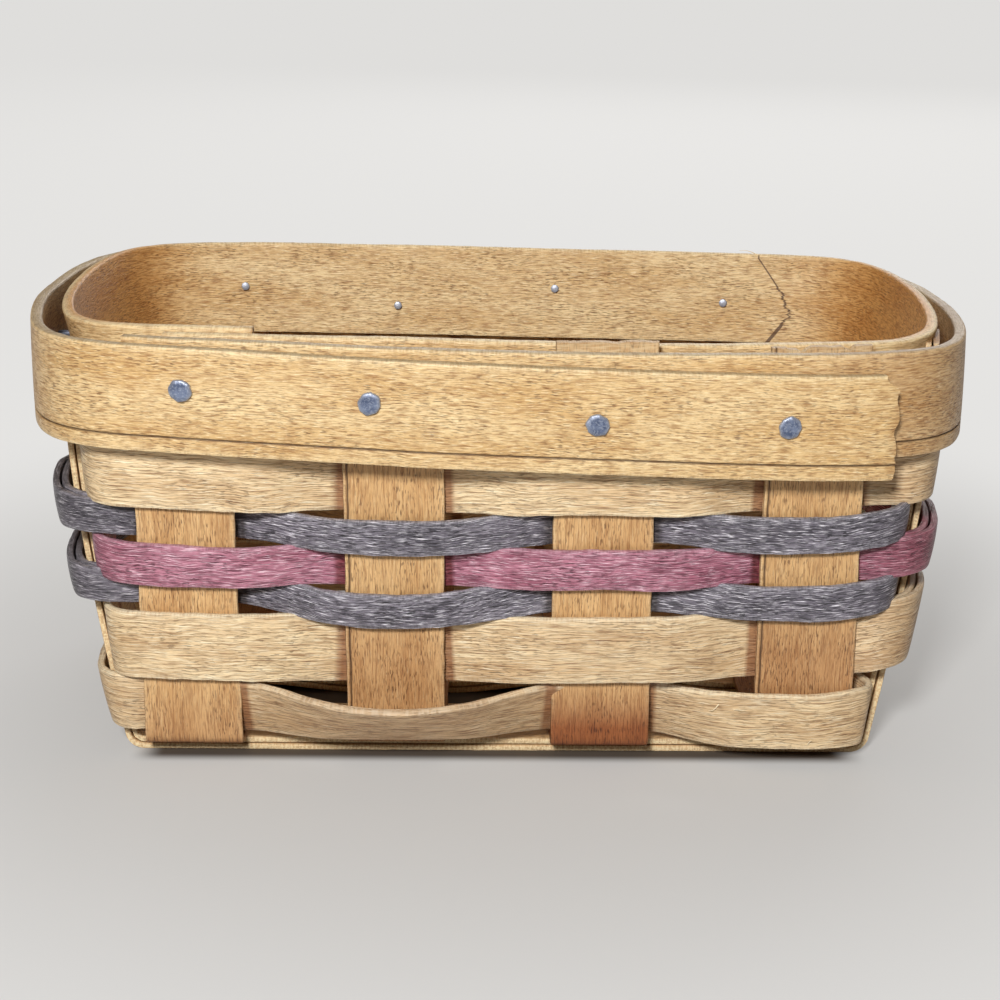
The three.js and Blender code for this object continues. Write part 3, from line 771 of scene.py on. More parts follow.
class Finish:
    """A material with its nodes; node() makes any node from its type, settings and socket values."""

    def __init__(self, name):
        self.material = bpy.data.materials.new(name)
        self.material.use_nodes = True
        self.tree = self.material.node_tree
        self.shader = self.tree.nodes["Principled BSDF"]

    def plug(self, socket, value):
        """Link a value to a socket, or set the socket to a number or colour."""
        if isinstance(value, Value):
            self.tree.links.new(value.socket, socket)
        else:
            socket.default_value = value

    def node(self, kind, settings=None, sockets=None, output=0):
        """Node of a kind, its settings made first, then its sockets; gives one of its outputs."""
        made = self.tree.nodes.new(kind)
        for key, value in (settings or {}).items():
            setattr(made, key, value)
        for key, value in (sockets or {}).items():
            self.plug(made.inputs[key], value)
        return Value(self, made.outputs[output])

    def set(self, **sockets):
        """Sockets of the main shader, named with underscores for spaces."""
        for key, value in sockets.items():
            self.plug(self.shader.inputs[key.replace("_", " ")], value)

    def mix(self, share, first, second, blend="MIX"):
        """Colour mix of two colours by a share from 0 to 1."""
        settings = {"data_type": "RGBA", "blend_type": blend}
        return self.node("ShaderNodeMix", settings, {0: share, 6: first, 7: second}, 2)

    def attribute(self, name):
        """Value that the piece carries at its points."""
        return self.node("ShaderNodeAttribute", {"attribute_name": name}, {}, "Fac")

    def strip(self):
        """Distance along the strip and round it, in millimetres."""
        uv = self.node("ShaderNodeUVMap", {"uv_map": "Strip"}, {}, "UV")
        split = self.node("ShaderNodeSeparateXYZ", {}, {0: uv}).socket.node
        return Value(self, split.outputs[0]) * (1 / MM), Value(self, split.outputs[1]) * (1 / MM)

    def vector(self, x, y, z=0.0):
        """Vector of three values."""
        return self.node("ShaderNodeCombineXYZ", {}, {0: x, 1: y, 2: z})

    def noise(self, vector, detail=2.0, roughness=0.5):
        """Soft noise around 0.5 with features one unit of the vector wide."""
        sockets = {"Vector": vector, "Scale": 1.0, "Detail": detail, "Roughness": roughness}
        return self.node("ShaderNodeTexNoise", {}, sockets)

    def bump(self, height, strength, distance):
        """Normal of a surface raised by a height times a distance in metres."""
        sockets = {"Strength": strength, "Distance": distance, "Height": height}
        return self.node("ShaderNodeBump", {}, sockets)


# Marks of the grain, along and across the strip in millimetres or as shares of the fibres
SWAY_SIZE = (7.0, 4.0)
TONE_SIZE = (18.0, 4.0)
FLECK_SIZE = (1.0, 0.17)
REGION_SIZE = (9.0, 3.0)
HATCH_SIZE = (0.3, 2.0)
PATCH_SHARE = (0.6, 0.22)
HAIR_SHARE = (1.3, 1.6)
RELIEF_DEPTH = 0.2 * MM
# Dark colour of the score line, also used for painted shade in the gap where a band's plies meet
SCORE_AND_GAP_SHADE_COLOUR = srgb(60, 34, 18)
CRACK_COLOUR = srgb(74, 42, 22)
# Tint that the dim share multiplies in: painted shade, and on the stakes a darkening towards the bottom
WOOD_DARKENING_TINT = (178, 132, 106)


def grained(name, palette, size, mottle, fibre, fleck, glint, wave, bump, rough, pale_edge=0.6,
            darkening_tint=WOOD_DARKENING_TINT, crack_at=None):
    """Splint wood: slow tone changes, soft mottling, fine fibres that wander sideways, short dark flecks
    along the grain, pale glints that are painted highlights, paler hatched edges, a dark score line that
    also paints shade in the gap where a band's plies meet, painted shade (and on the stakes a darkening
    towards the bottom) through the dim share, and a bump from the same fibres and flecks."""
    colours = {key: srgb(*colour) for key, colour in palette.items()}
    length, breadth = size
    wood = Finish(name)
    u, v = wood.strip()
    sway = wood.noise(wood.vector(u * (1 / SWAY_SIZE[0]), v * (1 / SWAY_SIZE[1]))) - 0.5
    swayed = v + sway * wave

    def marks(long, wide, layer, detail, roughness=0.5):
        """Noise stretched to marks of a length and a breadth in millimetres."""
        return wood.noise(wood.vector(u * (1 / long), swayed * (1 / wide), layer), detail, roughness)

    tone = marks(*TONE_SIZE, 3.0, 3.0, 0.6)
    patch = marks(length / PATCH_SHARE[0], breadth / PATCH_SHARE[1], 7.0, 3.0, 0.7)
    fine = marks(length, breadth, 11.0, 3.0, 0.65)
    hair = marks(length / HAIR_SHARE[0], breadth / HAIR_SHARE[1], 17.0, 2.0, 0.6)
    dash = marks(*FLECK_SIZE, 23.0, 1.0, 0.4)
    region = marks(*REGION_SIZE, 29.0, 1.0)
    spots = dash.step(0.55, 0.68) * (region.step(0.3, 0.65) * 0.8 + 0.2)
    # The pale glints are painted highlights
    glints = hair.step(0.52, 0.66) * fine.step(0.62, 0.42)
    colour = wood.mix(tone.step(0.3, 0.7), colours["middle"], colours["pale"])
    colour = wood.mix(patch.step(0.45, 0.7) * mottle, colour, colours["deep"])
    colour = wood.mix(fine.step(0.45, 0.64) * fibre, colour, colours["deep"])
    colour = wood.mix(glints * glint, colour, colours["cream"])
    colour = wood.mix(spots * fleck, colour, colours["spot"])
    hatch = wood.noise(wood.vector(u * (1 / HATCH_SIZE[0]), v * (1 / HATCH_SIZE[1]), 31.0)).step(0.4, 0.6)
    colour = wood.mix(wood.attribute("edge") * (0.35 + hatch * 0.65) * pale_edge, colour, colours["cream"])
    colour = wood.mix(wood.attribute("tip") * 0.35, colour, colours["deep"])
    colour = wood.mix(wood.attribute("score_and_gap_shade") * 0.9, colour, SCORE_AND_GAP_SHADE_COLOUR)
    # Painted shade, and on the stakes a darkening towards the bottom, mixed in by the dim share
    darkened = wood.mix(1.0, colour, srgb(*darkening_tint), "MULTIPLY")
    colour = wood.mix(wood.attribute("dim"), colour, darkened)
    if crack_at is not None:
        colour = wood.mix(crack_share(wood, u - crack_at, v), colour, CRACK_COLOUR)
    relief = fine * 0.6 + hair * 0.4 + patch * 0.3 - spots * 0.5
    roughness = rough + (fine - 0.5) * 0.3
    wood.set(Base_Color=colour, Roughness=roughness, Normal=wood.bump(relief, bump, RELIEF_DEPTH))
    return wood.material


def crack_share(wood, u, v):
    """Share of the crack's colour: a line that runs across the band from place to place, jagged in the
    middle of its way and thin at the top."""
    line = u - CRACK_LINE[0]
    stops = list(zip(CRACK_HEIGHTS, CRACK_LINE))
    for (low, first), (high, second) in zip(stops, stops[1:]):
        sockets = {"Value": v, "From Min": low, "From Max": high, "To Min": 0.0, "To Max": second - first}
        line = line - wood.node("ShaderNodeMapRange", {}, sockets)
    teeth = wood.noise(wood.vector(v * (1 / CRACK_TOOTH), 5.0), 4.0, 0.7) - 0.5
    above_start = v.step(*JAG_FROM)
    above_end = v.step(*JAG_TO)
    line = line + teeth * above_start * (1 - above_end) * CRACK_JAG
    width = CRACK_WIDTH + (1 - above_start) * CRACK_LOW_EXTRA - above_end * CRACK_HIGH_LESS
    return (width - abs(line)).step(-0.08, 0.04) * (1 - v.step(*CRACK_TOP)) * 0.85


STAKE_PALETTE = {
    "pale": (224, 183, 128),
    "middle": (205, 160, 106),
    "deep": (146, 98, 56),
    "spot": (84, 50, 28),
    "cream": (238, 216, 172),
}
NATURAL_PALETTE = {
    "pale": (253, 228, 182),
    "middle": (226, 193, 146),
    "deep": (140, 100, 62),
    "spot": (92, 60, 38),
    "cream": (255, 246, 216),
}
BAND_PALETTE = {
    "pale": (240, 211, 158),
    "middle": (216, 177, 118),
    "deep": (152, 104, 56),
    "spot": (100, 62, 30),
    "cream": (252, 234, 190),
}
DARK_PALETTE = {
    "pale": (134, 128, 140),
    "middle": (92, 87, 98),
    "deep": (28, 25, 32),
    "spot": (16, 15, 20),
    "cream": (246, 243, 250),
}
RED_PALETTE = {
    "pale": (202, 134, 154),
    "middle": (166, 92, 114),
    "deep": (80, 22, 44),
    "spot": (54, 14, 30),
    "cream": (255, 222, 234),
}
BAND_GRAIN = dict(
    size=(1.9, 0.2), mottle=0.38, fibre=0.68, fleck=0.6, glint=0.7, wave=0.8, bump=0.6, rough=0.5)
stake_wood = grained(
    "Stake_Splint", STAKE_PALETTE,
    size=(3.4, 0.19), mottle=0.35, fibre=0.6, fleck=0.7, glint=0.35, wave=0.5, bump=0.5, rough=0.55)
natural_wood = grained(
    "Natural_Weaver", NATURAL_PALETTE,
    size=(4.2, 0.18), mottle=0.3, fibre=0.75, fleck=0.45, glint=0.85, wave=1.1, bump=0.8, rough=0.5,
    darkening_tint=(176, 142, 122))
band_wood = grained("Rim_Band", BAND_PALETTE, **BAND_GRAIN)
dark_wood = grained(
    "Dark_Weaver", DARK_PALETTE,
    size=(2.6, 0.15), mottle=0.5, fibre=0.85, fleck=0.7, glint=1.0, wave=1.3, bump=1.0, rough=0.42,
    pale_edge=0.25, darkening_tint=(146, 136, 130))
red_wood = grained(
    "Burgundy_Weaver", RED_PALETTE,
    size=(2.9, 0.15), mottle=0.45, fibre=0.8, fleck=0.55, glint=1.0, wave=1.3, bump=1.0, rough=0.42,
    pale_edge=0.25, darkening_tint=(170, 108, 108))


BLOTCHES_PER_METRE = 1000.0
SPECKS_PER_METRE = 4500.0
STEEL_DEEP = srgb(82, 94, 122)
STEEL_PALE = srgb(126, 138, 164)
STEEL_SPECK = srgb(204, 210, 222)
STEEL_HIGHLIGHT = srgb(206, 208, 214)
DENT_DEPTH = 0.1 * MM


def beaten_steel(name):
    """Nail steel: grey with darker blotches, a painted highlight on the head's rim and the tip, dented by
    slow noise.
    """
    steel = Finish(name)
    place = steel.node("ShaderNodeTexCoord", {}, {}, "Object")
    scaling = {"operation": "SCALE"}
    coarse = steel.node("ShaderNodeVectorMath", scaling, {0: place, "Scale": BLOTCHES_PER_METRE})
    fine = steel.node("ShaderNodeVectorMath", scaling, {0: place, "Scale": SPECKS_PER_METRE})
    blotch = steel.noise(coarse, 3.0, 0.6)
    speck = steel.noise(fine, 2.0, 0.6)
    colour = steel.mix(blotch.step(0.35, 0.65), STEEL_DEEP, STEEL_PALE)
    colour = steel.mix(speck.step(0.48, 0.66) * 0.3, colour, STEEL_SPECK)
    colour = steel.mix(steel.attribute("edge") * 0.55, colour, STEEL_HIGHLIGHT)
    roughness = 0.46 + (blotch - 0.5) * 0.3
    dents = steel.bump(speck + blotch, 0.35, DENT_DEPTH)
    steel.set(Base_Color=colour, Roughness=roughness, Metallic=0.6, Normal=dents)
    return steel.material


nail_steel = beaten_steel("Nail_Steel")


def dress(piece, node, material):
    """The piece takes the place of its solid and moves with the basket."""
    piece.data.materials.append(material)
    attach(piece, "root")
    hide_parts(node)


def ragged(depth, seed, tooth=CUT_TOOTH):
    """Cut end that wanders along the strip with the place across: a long and a short random wave."""
    def cut(across):
        long_wave = wander(across + CUT_PLACE, tooth, seed)
        short_wave = wander(across + CUT_PLACE, CUT_SHORT_TOOTH, seed + 1)
        return depth * long_wave + CUT_SHORT_SHARE * depth * short_wave
    return cut


# Stakes

for i in range(CROSS_COUNT):
    levels = [HIGH_CROSS if cross_is_over(i, k) else LOW_CROSS for k in range(LONG_COUNT)]
    crossings = [(long_at(k), levels[k]) for k in range(LONG_COUNT)]
    line = stake_path(
        cross_end("front", i), cross_end("back", i), crossings,
        lambda y, z, x=cross_at(i): np.stack([np.full_like(y, x), y, z], axis=1), np.array([1.0, 0.0, 0.0]))
    is_held_in = i % 2 == 1
    is_frayed = i == CROSS_COUNT - 1
    top_seed = CROSS_CUT_SEED + i
    top_cut = ragged(FRAYED_CUT, top_seed, FRAYED_TOOTH) if is_frayed else ragged(STAKE_CUT, top_seed)
    height = line.points[:, 2]
    # Each stake end is darker towards the bottom by FRONT_DIMS and BACK_DIM, with painted shade where it
    # turns under to the floor
    low_part = 1 - smooth(height, *(HELD_DIM_HEIGHTS if is_held_in else FREE_DIM_HEIGHTS))
    shade = np.where(line.points[:, 1] < 0, FRONT_DIMS[i], BACK_DIM) * low_part
    shade = np.maximum(shade, TURN_DIM * (1 - smooth(height, *TURN_DIM_HEIGHTS)))
    piece = splint(
        "splint_cross_%d" % (i + 1), line, STAKE_WIDTH, STAKE_THICKNESS, CROSS_SEED + CROSS_SEED_STEP * i,
        start_cut=top_cut, end_cut=ragged(STAKE_FAR_CUT, CROSS_FAR_CUT_SEED + i),
        groove=(STAKE_SCORE, STAKE_SCORE_DEPTH) if is_held_in else None,
        shade=shade, face_columns=FINE_FACE_COLUMNS, start_pale=STAKE_TOP_PALE)
    dress(piece, "cross_stake_%d" % (i + 1), stake_wood)

for k, name in enumerate(("front", "middle", "back")):
    levels = [LOW_LONG if cross_is_over(i, k) else HIGH_LONG for i in range(CROSS_COUNT)]
    crossings = [(cross_at(i), levels[i]) for i in range(CROSS_COUNT)]
    line = stake_path(
        long_end("left", k), long_end("right", k), crossings,
        lambda x, z, y=long_at(k): np.stack([x, np.full_like(x, y), z], axis=1), np.array([0.0, 1.0, 0.0]))
    for layer, sense in (("inner", 1), ("outer", -1)):
        ply = line.moved(sense * (PLY_THICKNESS + PLY_GAP) / 2)
        seed = LONG_SEED + LONG_SEED_STEP * k + sense
        cuts = [ragged(STAKE_FAR_CUT, seed + more) for more in LONG_CUT_SEEDS]
        piece = splint(
            "splint_long_%s_%s" % (name, layer), ply, STAKE_WIDTH, PLY_THICKNESS, seed,
            start_cut=cuts[0], end_cut=cuts[1], pale=PLY_PALE)
        dress(piece, "long_stake_%s_%s" % (name, layer), stake_wood)


# Weavers

ROW_WOODS = {"natural": natural_wood, "dark": dark_wood, "red": red_wood}


def weaver(number, dye, width, outside, inside, start, laps=ROW_LAPS, swing=ROW_SWING, flatness=ROW_FLATNESS,
           climb=0.0, lean=None, stand=None, heights=None, dims=None, slip=0.0):
    """One row: the wall's middle line, moved outward by a swing times a flattened cosine that is positive
    outside a stake and negative inside, with heights, leans and stands eased from stake to stake. It
    climbs at the ends of the basket. Where it laps over its own start the two layers part by one
    thickness, and the first layer may slip down. It carries painted shade close beside the stakes that
    it passes inside, and at the stake ends given in dims. Returns the path and the phase of its points."""
    seed = ROW_SEED + ROW_SEED_STEP * number
    middle = (outside + inside) / 2
    phase = np.linspace(start - ROW_TAIL, start + PLACES + laps - 1 + ROW_TAIL, RING_SAMPLES)
    base, normal, rise = ring_frame(middle, phase)
    wave = -np.cos(np.pi * (phase + number - 1))
    sharp = at_places(np.where(at_end > 0, flatness[1], flatness[0]), phase)
    side = np.tanh(sharp * wave) / np.tanh(sharp)
    is_outside = (np.arange(PLACES) + number - 1) % 2 == 1
    height = np.where(is_outside, outside, inside) - middle
    height = height + climb * at_end
    height = height + ROW_UNEVENNESS * np.random.default_rng(seed).uniform(-1, 1, PLACES)
    for place, value in (heights or {}).items():
        height[place] = value - middle
    turns = phase - start
    over = smooth(turns, PLACES - LAP_PARTS[0], PLACES - LAP_PARTS[1])
    under = 1 - smooth(turns, laps - LAP_CLOSES[0], laps - LAP_CLOSES[1])
    step = WEAVER_THICKNESS + LAYER_GAP
    offset = at_places(np.where(at_end > 0, swing[1], swing[0]), phase) * side
    offset += step * (1 + side) / 2 * over
    offset -= step * (1 - side) / 2 * under
    offset += at_places(filled(stand), phase)
    level = at_places(height, phase) - slip * under
    tilt = np.radians(at_places(filled(lean), phase))[:, None]
    points = base + rise * level[:, None] + normal * offset[:, None]
    line = Path(points, rise * np.cos(tilt) + normal * np.sin(tilt))
    # Painted shade beside the stakes that the row passes inside, and at the stake ends in dims
    beside = 1 - np.abs((phase + number - 1) % 2 - 1)
    shade = np.maximum(BESIDE_DIM * between(beside, *BESIDE_PLACES), at_places(filled(dims), phase))
    cuts = [ragged(ROW_CUT, seed + more) for more in ROW_CUT_SEEDS]
    piece = splint(
        "splint_row_%d" % number, line, width, WEAVER_THICKNESS, seed, crown=ROW_CROWN,
        edge_wander=ROW_EDGE_WANDER, start_cut=cuts[0], end_cut=cuts[1], shade=shade[line.keep])
    dress(piece, "weaver_%d_%s" % (number, dye), ROW_WOODS[dye])
    return line, phase[line.keep]


row_1, row_1_phase = weaver(
    1, "natural", width=7.7, outside=6.2, inside=7.0, start=FRONT_1, slip=0.5,
    lean={FRONT_1: 12, FRONT_2: 40, FRONT_3: 18, FRONT_4: 4},
    stand={FRONT_2: 1.4, FRONT_4: 0.4, RIGHT_FRONT: -2.2},
    heights={FRONT_2: 6.9, FRONT_4: 6.45, LEFT_FRONT: 8.4},
    dims={FRONT_1: 0.2, FRONT_2: 0.55, FRONT_3: 0.3, FRONT_4: 0.1, RIGHT_FRONT: 0.5, LEFT_FRONT: 0.2})
weaver(
    2, "natural", width=8.95, outside=17.0, inside=14.3, start=FRONT_4, climb=1.6,
    heights={FRONT_1: 16.1, FRONT_2: 15.0, FRONT_3: 16.1, FRONT_4: 15.9},
    dims={FRONT_3: 0.15, FRONT_4: 0.2, RIGHT_FRONT: 0.5, LEFT_FRONT: 0.15})
weaver(
    3, "dark", width=4.45, outside=22.3, inside=22.6, start=LEFT_MIDDLE, climb=1.7,
    lean={FRONT_3: -25},
    heights={FRONT_1: 23.1, FRONT_2: 21.1, FRONT_3: 22.9, FRONT_4: 22.3},
    dims={LEFT_FRONT: 0.6, RIGHT_FRONT: 0.6})
weaver(
    4, "red", width=5.3, outside=27.2, inside=26.2, start=FRONT_4, climb=1.5,
    heights={FRONT_1: 26.85, FRONT_2: 26.4, FRONT_3: 26.9, FRONT_4: 26.8},
    dims={LEFT_FRONT: 0.5, RIGHT_FRONT: 0.9})
weaver(
    5, "dark", width=4.55, outside=31.5, inside=31.3, start=LEFT_MIDDLE, climb=1.6,
    heights={FRONT_1: 31.8, FRONT_2: 31.0, FRONT_3: 31.8, FRONT_4: 31.3},
    dims={LEFT_FRONT: 0.6, RIGHT_FRONT: 0.5})
weaver(
    6, "natural", width=9.6, outside=39.0, inside=38.4, start=FRONT_4, laps=1, climb=0.7,
    swing=(1.22, 1.75), flatness=(2.0, 2.0),
    heights={FRONT_1: 39.0, FRONT_3: 38.9},
    dims={RIGHT_FRONT: 0.45})


# Rim bands

band_step = BAND_THICKNESS + LAYER_GAP
band_room = WEAVER_THICKNESS + 2 * GAP + BAND_THICKNESS / 2
clear = np.array([stand.thickness / 2 + band_room for stand in ring])
hollow = np.array([stand.upright * stand.lean for stand in ring])
clear_inside = clear + hollow * RIM_LEVEL * (BAND_WIDTH / 2 / HEIGHT) ** 2
clear_inside[FRONT_4] += WEAVER_THICKNESS + LAYER_GAP
rim_tilt = filled({
    RIGHT_BACK: -0.4,
    BACK_4: -0.75,
    BACK_3: -0.6,
    BACK_2: -0.1,
    BACK_1: 0.6,
    LEFT_BACK: 1.2,
    LEFT_MIDDLE: 0.5,
})


def band_lap(phase):
    """Share of the step by which a band lies over its own start."""
    return smooth(phase, PLACES - BAND_LAP_PARTS[0], PLACES - BAND_LAP_PARTS[1])


def outer_level(phase):
    """Height of the outer band: lowest along the back, rising to both ends with the square of the way,
    then falling along the front."""
    share = np.clip(phase, 0, PLACES) / PLACES
    level = RIM_LEVEL + OUTER_RISE * (1 - 2 * share) ** 2
    level = level + FRONT_LIFT * (1 - smooth(phase, FRONT_4, RIGHT_MIDDLE))
    from_left = (phase - LEFT_FRONT + LEFT_LIFT_BEFORE) / LEFT_LIFT_SPREAD
    level = level + LEFT_LIFT * np.exp(-(from_left**2))
    level = level + at_places(rim_tilt, phase)
    over = phase - PLACES
    return level - OUTER_FALL / (CROSS_COUNT - 1) * (over + np.sqrt(over**2 + FALL_EASE)) / 2


def splintered(across):
    """Broken end of the outer band: a chipped top corner and two random waves of small teeth."""
    cut = -CHIP_DEPTH * smooth(across, *CHIP_PLACES)
    for n, (depth, tooth) in enumerate(SPLINTERS):
        cut = cut + depth * wander(across + SPLINTER_PLACE, tooth, SPLINTER_SEED + n)
    return cut


# The outer band goes round outside the top row and once more along the front, upright at the ends
phase = np.linspace(-BAND_TAIL, PLACES + CROSS_COUNT - 1 + OUTER_TAIL, OUTER_SAMPLES)
base, normal, rise = ring_frame(RIM_LEVEL, phase)
offset = at_places(clear + END_SPREAD * at_end, phase) + band_step * band_lap(phase)
points = base + rise * (outer_level(phase) - RIM_LEVEL)[:, None] + normal * offset[:, None]
upright = at_places(at_end, phase)[:, None]
outer_line = Path(softened(points, BAND_SOFTNESS), unit(rise * (1 - upright) + UP * upright))
outer_places = np.interp(np.arange(PLACES + CROSS_COUNT), phase, outer_line.length)
# Painted shade on the under ply of the outer band, at the right and at the left
under_ply = UNDER_PLY_RIGHT_DIM * between(phase, *UNDER_PLY_RIGHT_PLACES)
under_ply = under_ply + UNDER_PLY_LEFT_DIM * between(phase, *UNDER_PLY_LEFT_PLACES)
piece = splint(
    "band_outer", outer_line, BAND_WIDTH, BAND_THICKNESS, OUTER_SEED, corner=BAND_CORNER, crown=OUTER_CROWN,
    edge_wander=BAND_EDGE_WANDER, span=(outer_places[0] - STAKE_WIDTH / 2, outer_places[-1] + OUTER_END),
    start_cut=ragged(OUTER_CUT, OUTER_CUT_SEED), end_cut=splintered, groove=(SCORE_HEIGHT, SCORE_DEPTH),
    face_columns=FINE_FACE_COLUMNS, gap_shade=BAND_GAP_SHADE, shade=under_ply[outer_line.keep])
dress(piece, "rim_band_outer", band_wood)

# The inner band goes once round inside the stakes, pressed outward and tilted at the ends
phase = np.linspace(-BAND_TAIL, PLACES + INNER_TAIL, RING_SAMPLES)
base, normal, rise = ring_frame(RIM_LEVEL, phase)
is_weaver_outside = np.arange(PLACES) % 2 == 0
tight = at_end * np.where(is_weaver_outside, END_TIGHT, END_TIGHT - WEAVER_ROOM)
offset = -at_places(clear_inside - tight, phase) - band_step * band_lap(phase)
dip = INNER_DIP * between(phase, DIP_START, FRONT_4, FRONT_4, BACK_4)
level = INNER_RISE - dip + INNER_LIFT * smooth(phase, LEFT_MIDDLE, PLACES) + at_places(rim_tilt, phase)
points = base + rise * level[:, None] + normal * offset[:, None]
tilt = END_TILT * at_places(at_end, phase)[:, None]
inner_line = Path(softened(points, BAND_SOFTNESS), rise * np.cos(tilt) + normal * np.sin(tilt))
inner_places = np.interp([0.0, PLACES], phase, inner_line.length)
crack_distance = np.interp(CRACK_PLACE, phase, inner_line.length)
cracked_wood = grained(
    "Rim_Band_Cracked", BAND_PALETTE, crack_at=crack_distance + strip_start(INNER_SEED),
    darkening_tint=(232, 196, 152), **BAND_GRAIN)
# Painted shade on the inside face of the inner band at both ends of the basket
darkened = INSIDE_DIM * at_places(at_end, phase)[inner_line.keep]
piece = splint(
    "band_inner", inner_line, BAND_WIDTH, BAND_THICKNESS, INNER_SEED, corner=BAND_CORNER, crown=INNER_CROWN,
    edge_wander=BAND_EDGE_WANDER, span=(inner_places[0] - INNER_START, inner_places[1] + INNER_END),
    start_cut=ragged(INNER_START_CUT, INNER_CUT_SEEDS[0]), end_cut=ragged(INNER_END_CUT, INNER_CUT_SEEDS[1]),
    shade=darkened, is_inside_shaded=True)
dress(piece, "rim_band_inner", cracked_wood)


# Loose fibres

def loose_fibre(name, path, distance, place, side, reach, material):
    """Fibre that has come away: a thin tapering tube along a quadratic curve, its foot sunk in the strip's
    face at a distance along the strip and a place across it; reach is along, across and outward."""
    spot = np.array([distance])
    across = path.at(spot, path.across)[0]
    normal = path.at(spot, path.normal)[0]
    outward = side * normal
    along = np.cross(across, normal)
    foot = path.at(spot, path.points)[0] + across * place + outward * FIBRE_FOOT
    ways = np.stack([along, across, outward])
    bow = foot + np.multiply(reach, FIBRE_BOW) @ ways
    end = foot + np.array(reach) @ ways
    t = np.linspace(0, 1, FIBRE_STATIONS)[:, None]
    line = (1 - t) ** 2 * foot + 2 * t * (1 - t) * bow + t**2 * end
    way = unit(np.gradient(line, axis=0))
    sideways = unit(np.cross(way, across + FIBRE_SLANT * along))
    upward = np.cross(way, sideways)
    angle = np.linspace(0, 2 * math.pi, FIBRE_SIDES, endpoint=False)[None, :, None]
    radius = FIBRE_RADIUS * (1 - FIBRE_TAPER * t)[:, None]
    surface = sideways[:, None] * np.cos(angle) + upward[:, None] * np.sin(angle)
    surface = (line[:, None] + radius * surface).reshape(-1, 3)
    walls, index, after = tube_faces(FIBRE_STATIONS, FIBRE_SIDES)
    faces = walls.tolist() + [index[0, ::-1].tolist(), index[-1].tolist()]
    uv = np.zeros((walls.size + 2 * FIBRE_SIDES, 2))
    piece = make_piece(name, surface, faces, uv, {"edge": np.full(len(surface), FIBRE_EDGE)})
    piece.data.materials.append(material)
    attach(piece, "root")


loose_fibre(
    "fibre_band_1", inner_line, crack_distance + FIBRE_PAST_CRACK, BAND_WIDTH / 2 - FIBRE_BELOW_EDGE, -1,
    reach=(3.4, 1.1, 0.3), material=band_wood)
for n, fibre in enumerate((
        dict(phase=2.66, place=1.7, reach=(1.8, 0.5, 0.7)),
        dict(phase=2.6, place=2.6, reach=(-1.4, -0.9, 0.6)),
        dict(phase=3.03, place=-3.2, reach=(0.5, 1.0, 0.6)))):
    distance = np.interp(fibre["phase"], row_1_phase, row_1.length)
    loose_fibre(
        "fibre_row_%d" % (n + 1), row_1, distance, fibre["place"], 1,
        reach=fibre["reach"], material=natural_wood)


# Nails

def nail(name, place, lateral, lift, layers):
    """Nail through the bands and the stake: tip, shank and a low domed head, head outward."""
    stand = ring[place]
    is_lapped = layers == 2
    z = float(outer_level(np.array(place + (PLACES if is_lapped else 0), float))) + lift
    origin = stand.at(z) + stand.run(z) * lateral
    face = clear[place] + (band_step if is_lapped else 0) + BAND_THICKNESS / 2 + HEAD_GAP
    inside = clear_inside[place] + BAND_THICKNESS / 2 + (band_step if place == FRONT_1 else 0)
    tip = -(inside + NAIL_TIP)
    radius = np.concatenate([NAIL_RADIUS * SHANK_RADII, HEAD_RADIUS * HEAD_RADII])
    distance = np.concatenate([tip + NAIL_TIP * SHANK_STEPS, [face], face + HEAD_THICKNESS * HEAD_STEPS])
    seed = HEAD_SEED_STEP * place + HEAD_SEED
    piece = turned("peg_" + name, radius, distance, origin, stand.normal(z), seed)
    dress(piece, "nail_" + name, nail_steel)


for i in range(CROSS_COUNT):
    nail("front_%d" % (i + 1), FRONT_1 + i, *FRONT_NAILS[i], layers=2)
    nail("back_%d" % (i + 1), BACK_1 - i, *BACK_NAILS[i], layers=1)
nail("right", RIGHT_MIDDLE, 0.0, 0.0, layers=1)
nail("left", LEFT_MIDDLE, 0.0, 0.0, layers=1)


# Studio

FLOOR_HALF = 4.0
FLOOR_COLOUR = srgb(190, 189, 187)
FLOOR_PAINTED_SHADE = srgb(84, 74, 64)
FLOOR_LIGHT = srgb(238, 237, 235)
UNDER_FROM = 0.9
GLOW_REACH = (0.04, 0.16)
GLOW_NEAR = 0.3
GLOW_FAR = 0.55


def floor_finish():
    """Pale floor with painted shade where the basket stands on it. It takes the basket's shadow and goes
    over to plain white light away from the basket, for the camera and for mirrors and glass only."""
    pale = Finish("Floor_Pale")
    place = pale.node("ShaderNodeTexCoord", {}, {}, "Object")
    split = pale.node("ShaderNodeSeparateXYZ", {}, {0: place}).socket.node
    under = 1.0
    for axis, reach in ((0, BASE_LENGTH / 2 * MM), (1, BASE_WIDTH / 2 * MM)):
        under = abs(Value(pale, split.outputs[axis])).step(reach, UNDER_FROM * reach) * under
    pale.set(Base_Color=pale.mix(under, FLOOR_COLOUR, FLOOR_PAINTED_SHADE), Roughness=0.9)
    radius = pale.node("ShaderNodeVectorMath", {"operation": "LENGTH"}, {0: place}, "Value")
    rays = pale.node("ShaderNodeLightPath").socket.node.outputs
    seen = sum(Value(pale, rays[key]) for key in ("Is Camera Ray", "Is Glossy Ray", "Is Transmission Ray"))
    glow = pale.node("ShaderNodeEmission", {}, {"Color": FLOOR_LIGHT, "Strength": 1.0})
    share = seen.step(0.0, 1.0) * (radius.step(*GLOW_REACH) * GLOW_FAR + GLOW_NEAR) * (1.0 - under)
    matt = Value(pale, pale.shader.outputs[0])
    both = pale.node("ShaderNodeMixShader", {}, {0: share, 1: matt, 2: glow})
    pale.plug(pale.tree.nodes["Material Output"].inputs["Surface"], both)
    return pale.material


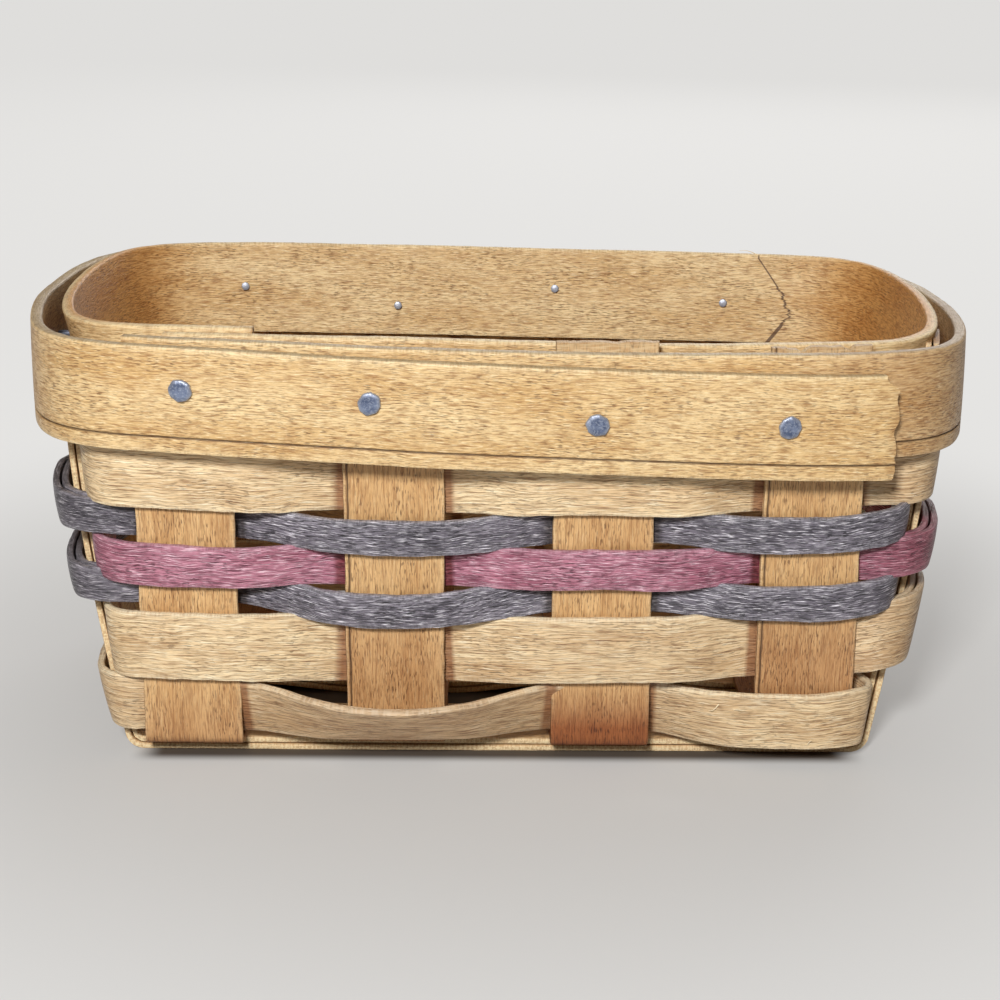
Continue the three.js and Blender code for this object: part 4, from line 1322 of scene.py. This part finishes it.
floor_mesh = bpy.data.meshes.new("floor")
corners = [(x * FLOOR_HALF, y * FLOOR_HALF, 0.0) for x, y in ((-1, -1), (1, -1), (1, 1), (-1, 1))]
floor_mesh.from_pydata(corners, [], [(0, 1, 2, 3)])
floor = bpy.data.objects.new("floor", floor_mesh)
floor_mesh.materials.append(floor_finish())
bpy.context.scene.collection.objects.link(floor)


def soft_light(name, place, target, size, power):
    """Square area lamp at a place, turned to face a target."""
    lamp = bpy.data.lights.new(name, "AREA")
    lamp.size = size
    lamp.energy = power
    holder = bpy.data.objects.new(name, lamp)
    holder.location = place
    holder.rotation_euler = (Vector(target) - Vector(place)).to_track_quat("-Z", "Y").to_euler()
    bpy.context.scene.collection.objects.link(holder)


BASKET_MIDDLE = (0.0, 0.0, 0.03)
BASKET_RIM = (0.0, 0.0, 0.04)
soft_light("key", place=(-0.08, -0.47, 0.3), target=BASKET_RIM, size=0.08, power=2.85)
soft_light("back", place=(0.14, 0.62, 0.36), target=BASKET_MIDDLE, size=0.5, power=2.2)
soft_light("top", place=(0.1, 0.2, 0.9), target=BASKET_MIDDLE, size=0.7, power=0.25)

AMBIENT_COLOUR = (1.0, 0.84, 0.68, 1.0)
AMBIENT_STRENGTH = 0.12
world = bpy.data.worlds.new("studio")
world.use_nodes = True
ambient = world.node_tree.nodes["Background"].inputs
ambient["Color"].default_value = AMBIENT_COLOUR
ambient["Strength"].default_value = AMBIENT_STRENGTH
bpy.context.scene.world = world

# Camera
FOCAL_PIXELS = 2300.0
FRAME_PIXELS = 1000.0
SENSOR_WIDTH = 36.0
CAMERA_PLACE = np.array([-0.36, -302.77, 114.24]) + SHIFT
YAW = 0.0019
PITCH = 0.2838
ROLL = 0.0063
forward = np.array([math.sin(YAW) * math.cos(PITCH), math.cos(YAW) * math.cos(PITCH), -math.sin(PITCH)])
right = np.array([math.cos(YAW), -math.sin(YAW), 0.0])
above = np.cross(right, forward)
rolled_right = math.cos(ROLL) * right + math.sin(ROLL) * above
rolled_above = math.cos(ROLL) * above - math.sin(ROLL) * right
lens = bpy.data.cameras.new("camera")
lens.sensor_width = SENSOR_WIDTH
lens.lens = SENSOR_WIDTH * FOCAL_PIXELS / FRAME_PIXELS
lens.clip_start = 0.01
camera = bpy.data.objects.new("camera", lens)
turn = Matrix(np.stack([rolled_right, rolled_above, -forward], axis=1).tolist()).to_4x4()
camera.matrix_world = Matrix.Translation(Vector(CAMERA_PLACE * MM)) @ turn
bpy.context.scene.collection.objects.link(camera)
bpy.context.scene.camera = camera
bpy.context.scene.view_settings.view_transform = "Standard"
